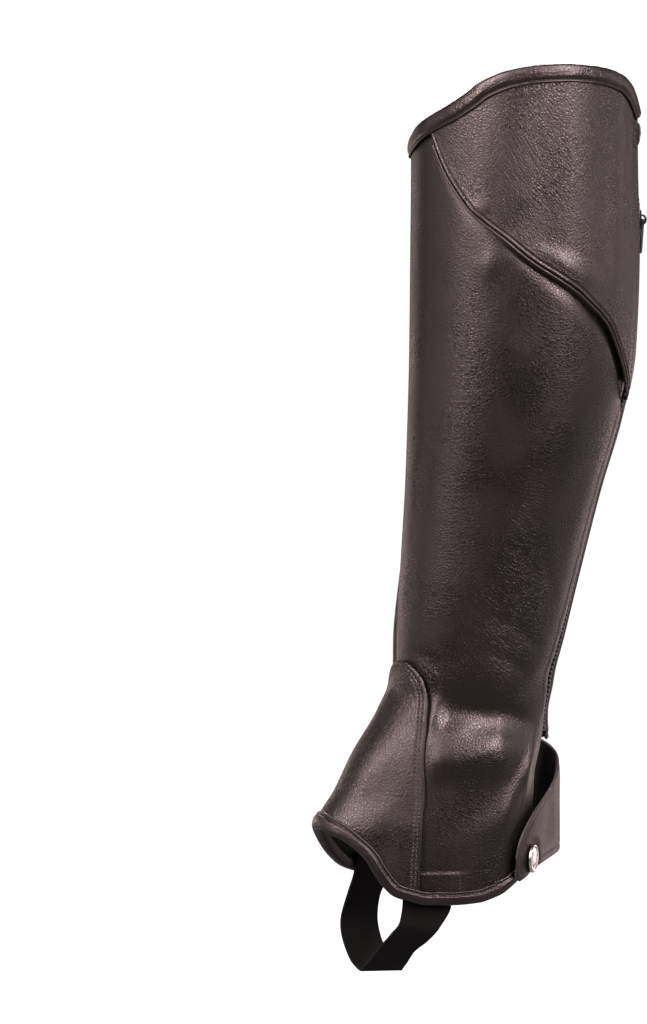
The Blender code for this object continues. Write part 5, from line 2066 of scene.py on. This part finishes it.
@dataclass
class HeelFlap:
    """The flap round the heel, from its tip at first to its sewn end at last, and its snap."""

    thick: float = 1.6
    first: float = 96.0
    last: float = 252.0
    tip: tuple[float, float] = (33.0, 26.5)
    low: Line = Line((
        (96, 26.5), (96.5, 24), (97.5, 21.8), (99.5, 20.8), (102.5, 21.6), (108, 22.9), (115, 24.2),
        (124, 25.4), (138, 25.6), (152, 25.4), (166, 25.2), (182, 26), (198, 28), (212, 30),
        (226, 32), (240, 34), (252, 35),
    ))
    high: Line = Line((
        (96, 33), (96.5, 36), (97.5, 39.4), (99.5, 42.8), (102.5, 46.4), (108, 51), (115, 55.2),
        (124, 58.3), (138, 62), (152, 65.6), (166, 69.5), (182, 75), (198, 80), (212, 83.5),
        (226, 85), (240, 85), (252, 84),
    ))
    stand: Line = Line((
        (96, 4.3), (99.5, 4.3), (102.5, 4.2), (108, 4.1), (115, 3.9), (124, 3.7), (138, 3.6),
        (152, 3.8), (166, 4.8), (182, 7), (198, 8), (212, 6), (226, 3.4), (240, 2.3), (252, 2.1),
    ))
    snap_angle: float = 110.0
    snap_height: float = 30.8
    snap_lean: float = 0.24
    snap_lift: float = 0.45
    snap_profile: Pairs = (
        (0, 1.50), (1.2, 1.48), (2.4, 1.40), (3.5, 1.27), (4.4, 1.10), (5, 0.98), (5.4, 1.00),
        (5.8, 1.20), (6.2, 1.40), (6.6, 1.40), (6.95, 1.20), (7.15, 0.85), (7.2, 0.45),
        (7.15, 0.10), (7, -0.20), (6.2, -0.30),
    )
    row: float = 3.0
    end_rows: tuple[float, float] = (247.5, 250.5)
    ripples: tuple[Fold, ...] = folds(
        (150, 46, 16, 7, 80, 0.7), (168, 50, 20, 8, 84, -0.8), (131, 42, 14, 6, 70, -0.5),
    )

    def face(self, angle: Array, height: Array) -> Array:
        """Distance of the flap's outer face from the leg, with a dent round the snap.

        Args:
            angle, height: The places.

        Returns:
            The distances.
        """
        flat = LEG.plain(angle, height) - LEG.plain(self.snap_angle, self.snap_height)
        away = np.linalg.norm(flat, axis=-1)
        round_it = (angle - self.snap_angle) * 0.72
        dent = -(0.55 + self.snap_lean * round_it) * np.exp(-((away / 9.5) ** 4))
        dent += 0.25 * np.exp(-(((away - 11.5) / 2.5) ** 2))
        ripple = LEG.fold_depth(angle, height, self.ripples)
        return self.stand(angle) + self.thick + dent + ripple

    def build(self) -> None:
        """Makes the flap, its sewing and its snap."""
        angles = self.first + (self.last - self.first) * graded(190, 0.0) ** 1.35
        up = graded(46, 0.55)[:, None]
        heights = self.low(angles) * (1 - up) + self.high(angles) * up
        angle = np.broadcast_to(angles, heights.shape)
        smooth = LEG.place(angle, heights, self.stand(angle))
        outline = np.concatenate([smooth[0][::-1], smooth[:, 0], smooth[-1]])
        distance = near(smooth, outline)
        edge = EdgeFinish(0.35, 0.7, (self.row,), 0.22, 0.6, 0.08, 1.2)
        out = self.face(angle, heights) + edge.shape(distance)
        # Painted highlight: a lighter colour along the flap's edge.
        marks = {"crease": 0 * distance + 0.08, "painted_highlight": np.exp(-((distance / 0.8) ** 2)) * 0.5}
        # The flap's leather is a lighter copy of the grained leather: painted light.
        sheet = Sheet(
            "lit_flap_leather", "heel_flap", Slot.LEATHER, ("lit_flap_leather", "flesh_side", "cut_edge"),
            self.thick, ("outer_leather", "inner_suede"),
        )
        sheet.build(LEG.place(angle, heights, out), smooth, marks)
        self.sew()
        self.snap()

    def sew(self) -> None:
        """Sews the row near the flap's edge, where it isn't too tight, and those of its end."""
        sewing = Sewing(
            "flap_stitches", pitch=2.2, length=1.6, radius=0.20, hole=0.28,
            thread="binding_thread",
        )
        lows = np.linspace(self.first + 1, self.last - 3, 300)
        tops = np.linspace(self.last - 3, self.first + 1, 300)
        down = np.linspace(0, 1, 24)
        high, low = self.tip
        angles = np.concatenate([tops, self.first + 0 * down, lows])
        heights = np.concatenate([self.high(tops), high - (high - low) * down, self.low(lows)])
        angles, heights = LEG.even(angles, heights, 1.2)
        a, h = LEG.inset(angles, heights, self.row, Hand.LEFT)
        inside = (h > self.low(a) + 2.0) & (h < self.high(a) - 2.0) & (a > self.first + 5)
        for run in np.split(np.arange(len(a)), np.nonzero(~inside)[0]):
            run = run[inside[run]]
            if len(run) > 6:
                sewing.row(a[run], h[run], lambda x, y: self.face(x, y) - 0.16)
        for angle in self.end_rows:
            heights = np.linspace(39, 80, 40)
            sewing.row(angle + 0 * heights, heights, lambda x, y: self.face(x, y) + 0.02)
        sewing.finish()

    def snap(self) -> None:
        """Makes the snap's domed cap with its rolled rim and pressed middle."""
        out = float(self.stand(self.snap_angle)) + self.thick + self.snap_lift
        place = frame_at(self.snap_angle, self.snap_height, out)
        place = place @ Matrix.Rotation(math.atan(self.snap_lean), 4, "Z")
        bm = bmesh.new()
        verts = [bm.verts.new(Vector((lift, radius, 0)) * MM) for radius, lift in self.snap_profile]
        edges = [bm.edges.new(pair) for pair in zip(verts, verts[1:])]
        bmesh.ops.spin(
            bm, geom=verts + edges, cent=(0, 0, 0), axis=(1, 0, 0), dvec=(0, 0, 0), angle=math.tau,
            steps=64, use_merge=True,
        )
        bmesh.ops.remove_doubles(bm, verts=bm.verts, dist=0.01 * MM)
        bmesh.ops.holes_fill(bm, edges=[edge for edge in bm.edges if edge.is_boundary])
        bmesh.ops.recalc_face_normals(bm, faces=bm.faces)
        bmesh.ops.transform(bm, matrix=place, verts=bm.verts)
        mesh = mesh_of(bm, "snap_metal", 60.0)
        hang_up(mesh, ["plated_steel"], Slot.STEEL, "snap_cap")


@dataclass
class FootStrap:
    """The elastic under the foot, as rows of a place on its front edge and one on its back edge."""

    thick: float = 1.5
    rounding: float = 0.4
    rows: tuple[tuple[float, ...], ...] = (
        (-79, -25.4, 30, -55.8, -33.6, 26),
        (-78.6, -25.8, 22, -55.4, -34, 18),
        (-78.4, -26.6, 12, -55.2, -34.2, 9),
        (-79.6, -25.8, 1, -60, -31.8, -2),
        (-82.4, -20, -7, -63.6, -26, -9.5),
        (-84.8, -11, -15.5, -67.4, -15.5, -18),
        (-87.6, -1.5, -25.5, -67.8, -4.5, -27.6),
        (-88.6, 4.5, -30, -67.2, 1.5, -30.8),
        (-91, 12, -26, -69, 10, -27.5),
        (-91.6, 21.6, -16.5, -70, 20.5, -19.5),
        (-90.2, 26.4, -7, -69, 28.8, -10),
        (-87, 26, 4, -66.4, 32, 1),
        (-83.6, 25.2, 15, -62.4, 32.6, 10),
        (-81.6, 25, 26, -60.4, 32.4, 21),
    )

    def build(self) -> None:
        """Makes the band."""
        places = np.arange(len(self.rows), dtype=float)
        spread = np.linspace(0, len(self.rows) - 1, 260)
        lines = [Line(tuple(zip(places, column)))(spread) for column in zip(*self.rows)]
        front = np.stack(lines[:3], axis=-1)
        back = np.stack(lines[3:], axis=-1)
        across = np.linspace(0, 1, 25)[:, None, None]
        points = front * (1 - across) + back * across
        sheet = Sheet(
            "elastic_strap", "foot_strap", Slot.ELASTIC, ("elastic_band",), self.thick,
            ("hem_roll",), wall_offset=0.0, along_columns=True,
        )
        rounded = sheet.build(points, points).modifiers.new("rounded", "BEVEL")
        rounded.width = self.rounding * MM
        rounded.segments = 2
        rounded.limit_method = "ANGLE"


# --- the studio


WARM = (1.0, 0.88, 0.875)
WARMER = (1.0, 0.78, 0.77)
WHITE = (1.0, 1.0, 1.0, 1.0)


def direction(azimuth: float, elevation: float) -> Vector:
    """The way from the object to a viewer at these angles."""
    a, e = math.radians(azimuth), math.radians(elevation)
    return Vector((math.sin(a) * math.cos(e), -math.cos(a) * math.cos(e), math.sin(e)))


@dataclass(frozen=True)
class SoftBox:
    """A soft light aimed at a level on the chap, in metres and watts."""

    name: str
    azimuth: float
    elevation: float
    distance: float
    size: tuple[float, float]
    watts: float
    aim: float = -0.08
    colour: Colour = WARM

    def build(self) -> None:
        """Makes the light, which the camera doesn't see."""
        data = bpy.data.lights.new(self.name, "AREA")
        data.shape = "RECTANGLE"
        data.size, data.size_y = self.size
        data.energy = self.watts
        data.color = self.colour
        lamp = bpy.data.objects.new(self.name, data)
        lamp.visible_camera = False
        bpy.context.scene.collection.objects.link(lamp)
        away = direction(self.azimuth, self.elevation)
        lamp.location = Vector((0, 0, self.aim)) + away * self.distance
        lamp.rotation_euler = (-away).to_track_quat("-Z", "Y").to_euler()


@dataclass
class Studio:
    """A pale floor, soft light, and a camera whose target falls at target_px in the photo."""

    image: tuple[int, int] = (647, 1024)
    azimuth: float = -25.0
    elevation: float = 7.0
    distance: float = 1.8
    focal_px: float = 1800.0 / 0.51
    target: tuple[float, float, float] = (0.0, 0.0, -0.1076)
    target_px: tuple[float, float] = (525.0, 518.0)
    sensor: float = 36.0
    clip: tuple[float, float] = (0.05, 30.0)
    floor_height: float = -0.62
    floor_half: float = 6.0
    floor_colour: Colour = (0.10, 0.10, 0.10)
    sky_lights: float = 0.03
    sky_seen: float = 1.02
    boxes: tuple[SoftBox, ...] = (
        SoftBox("left_box", -68.0, 34.0, 1.35, (0.34, 1.10), 39.0),
        SoftBox("right_box", 17.0, 35.0, 1.35, (0.34, 1.10), 43.0),
        SoftBox("left_fill", -112.0, 6.0, 1.6, (1.50, 1.70), 6.5),
        SoftBox("right_fill", 72.0, 6.0, 1.6, (1.30, 1.70), 7.5),
        SoftBox("back_box", 155.0, 30.0, 1.6, (0.90, 0.90), 45.0),
        SoftBox("right_rim", 119.0, -12.0, 1.3, (0.34, 0.60), 2.1, -0.16, WARMER),
        SoftBox("overlay_rim", 89.0, 0.0, 1.3, (0.28, 0.20), 0.85, 0.11, WARMER),
        SoftBox("left_rim", -173.0, -8.0, 1.5, (0.24, 1.00), 1.8, colour=WARMER),
        SoftBox("seam_rim", -148.0, -12.0, 0.6, (0.14, 0.14), 0.40, -0.165, WARMER),
        SoftBox("flap_rim", 92.0, -16.0, 0.6, (0.20, 0.16), 0.12, -0.27, WARMER),
    )

    def build(self) -> None:
        """Makes the camera, the floor, the surroundings and the lights."""
        self.camera()
        self.floor()
        self.world()
        for box in self.boxes:
            box.build()

    def camera(self) -> None:
        """Makes the camera, turned so that its target falls where it does in the photograph."""
        data = bpy.data.cameras.new("camera")
        wide, high = self.image
        data.sensor_width = self.sensor
        data.lens = self.focal_px / max(wide, high) * self.sensor
        camera = bpy.data.objects.new("camera", data)
        bpy.context.scene.collection.objects.link(camera)
        back = direction(self.azimuth, self.elevation)
        camera.location = Vector(self.target) + back * self.distance
        ahead = -back
        right = ahead.cross(Vector((0, 0, 1))).normalized()
        up = right.cross(ahead)
        x = (self.target_px[0] - wide / 2) / self.focal_px
        y = -(self.target_px[1] - high / 2) / self.focal_px
        aim = (ahead - right * x - up * y).normalized()
        camera.rotation_euler = aim.to_track_quat("-Z", "Y").to_euler()
        data.clip_start, data.clip_end = self.clip
        bpy.context.scene.camera = camera

    def floor(self) -> None:
        """Makes the floor, which glows white for the camera."""
        bm = bmesh.new()
        bmesh.ops.create_grid(bm, x_segments=40, y_segments=40, size=self.floor_half)
        bmesh.ops.translate(bm, verts=bm.verts, vec=(0, 0, self.floor_height))
        mesh = mesh_of(bm, "floor")
        bench = Bench("floor_paper")
        grain = bench.noise(bench.places(), 300.0)
        seen = bench.add("ShaderNodeLightPath", {}, "Is Camera Ray")
        glow = bench.sum("ADD", 0.02, bench.sum("MULTIPLY", seen, 1.0))
        mesh.materials.append(
            bench.finish(
                Base_Color=opaque(self.floor_colour), Roughness=0.9,
                Normal=bench.bump(grain, 0.05), Emission_Color=WHITE, Emission_Strength=glow,
            )
        )
        obj = bpy.data.objects.new("floor", mesh)
        bpy.context.scene.collection.objects.link(obj)
        obj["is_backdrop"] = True

    def world(self) -> None:
        """Makes the white surroundings, dimmer for what they light than for what is seen."""
        world = bpy.data.worlds.new("studio")
        world.use_nodes = True
        nodes, links = world.node_tree.nodes, world.node_tree.links
        nodes.clear()
        out = nodes.new("ShaderNodeOutputWorld")
        mixed = nodes.new("ShaderNodeMixShader")
        path = nodes.new("ShaderNodeLightPath")
        for slot, strength in enumerate((self.sky_lights, self.sky_seen), start=1):
            sky = nodes.new("ShaderNodeBackground")
            sky.inputs["Strength"].default_value = strength
            sky.inputs["Color"].default_value = WHITE
            links.new(sky.outputs[0], mixed.inputs[slot])
        links.new(path.outputs["Is Camera Ray"], mixed.inputs[0])
        links.new(mixed.outputs[0], out.inputs["Surface"])
        bpy.context.scene.world = world
        bpy.context.scene.view_settings.view_transform = "Standard"


def main() -> None:
    """Builds the studio and the chap."""
    logging.basicConfig(level=logging.INFO, format="%(message)s", stream=sys.stdout)
    for part in (Studio, Panels, Bindings, Piping, Zip, HeelFlap, FootStrap):
        part().build()
    boxes = {"cad": CAD_BOX, "scene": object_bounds()}
    boxes = {name: [list(corner) for corner in box] for name, box in boxes.items()}


if __name__ == "__main__":
    main()
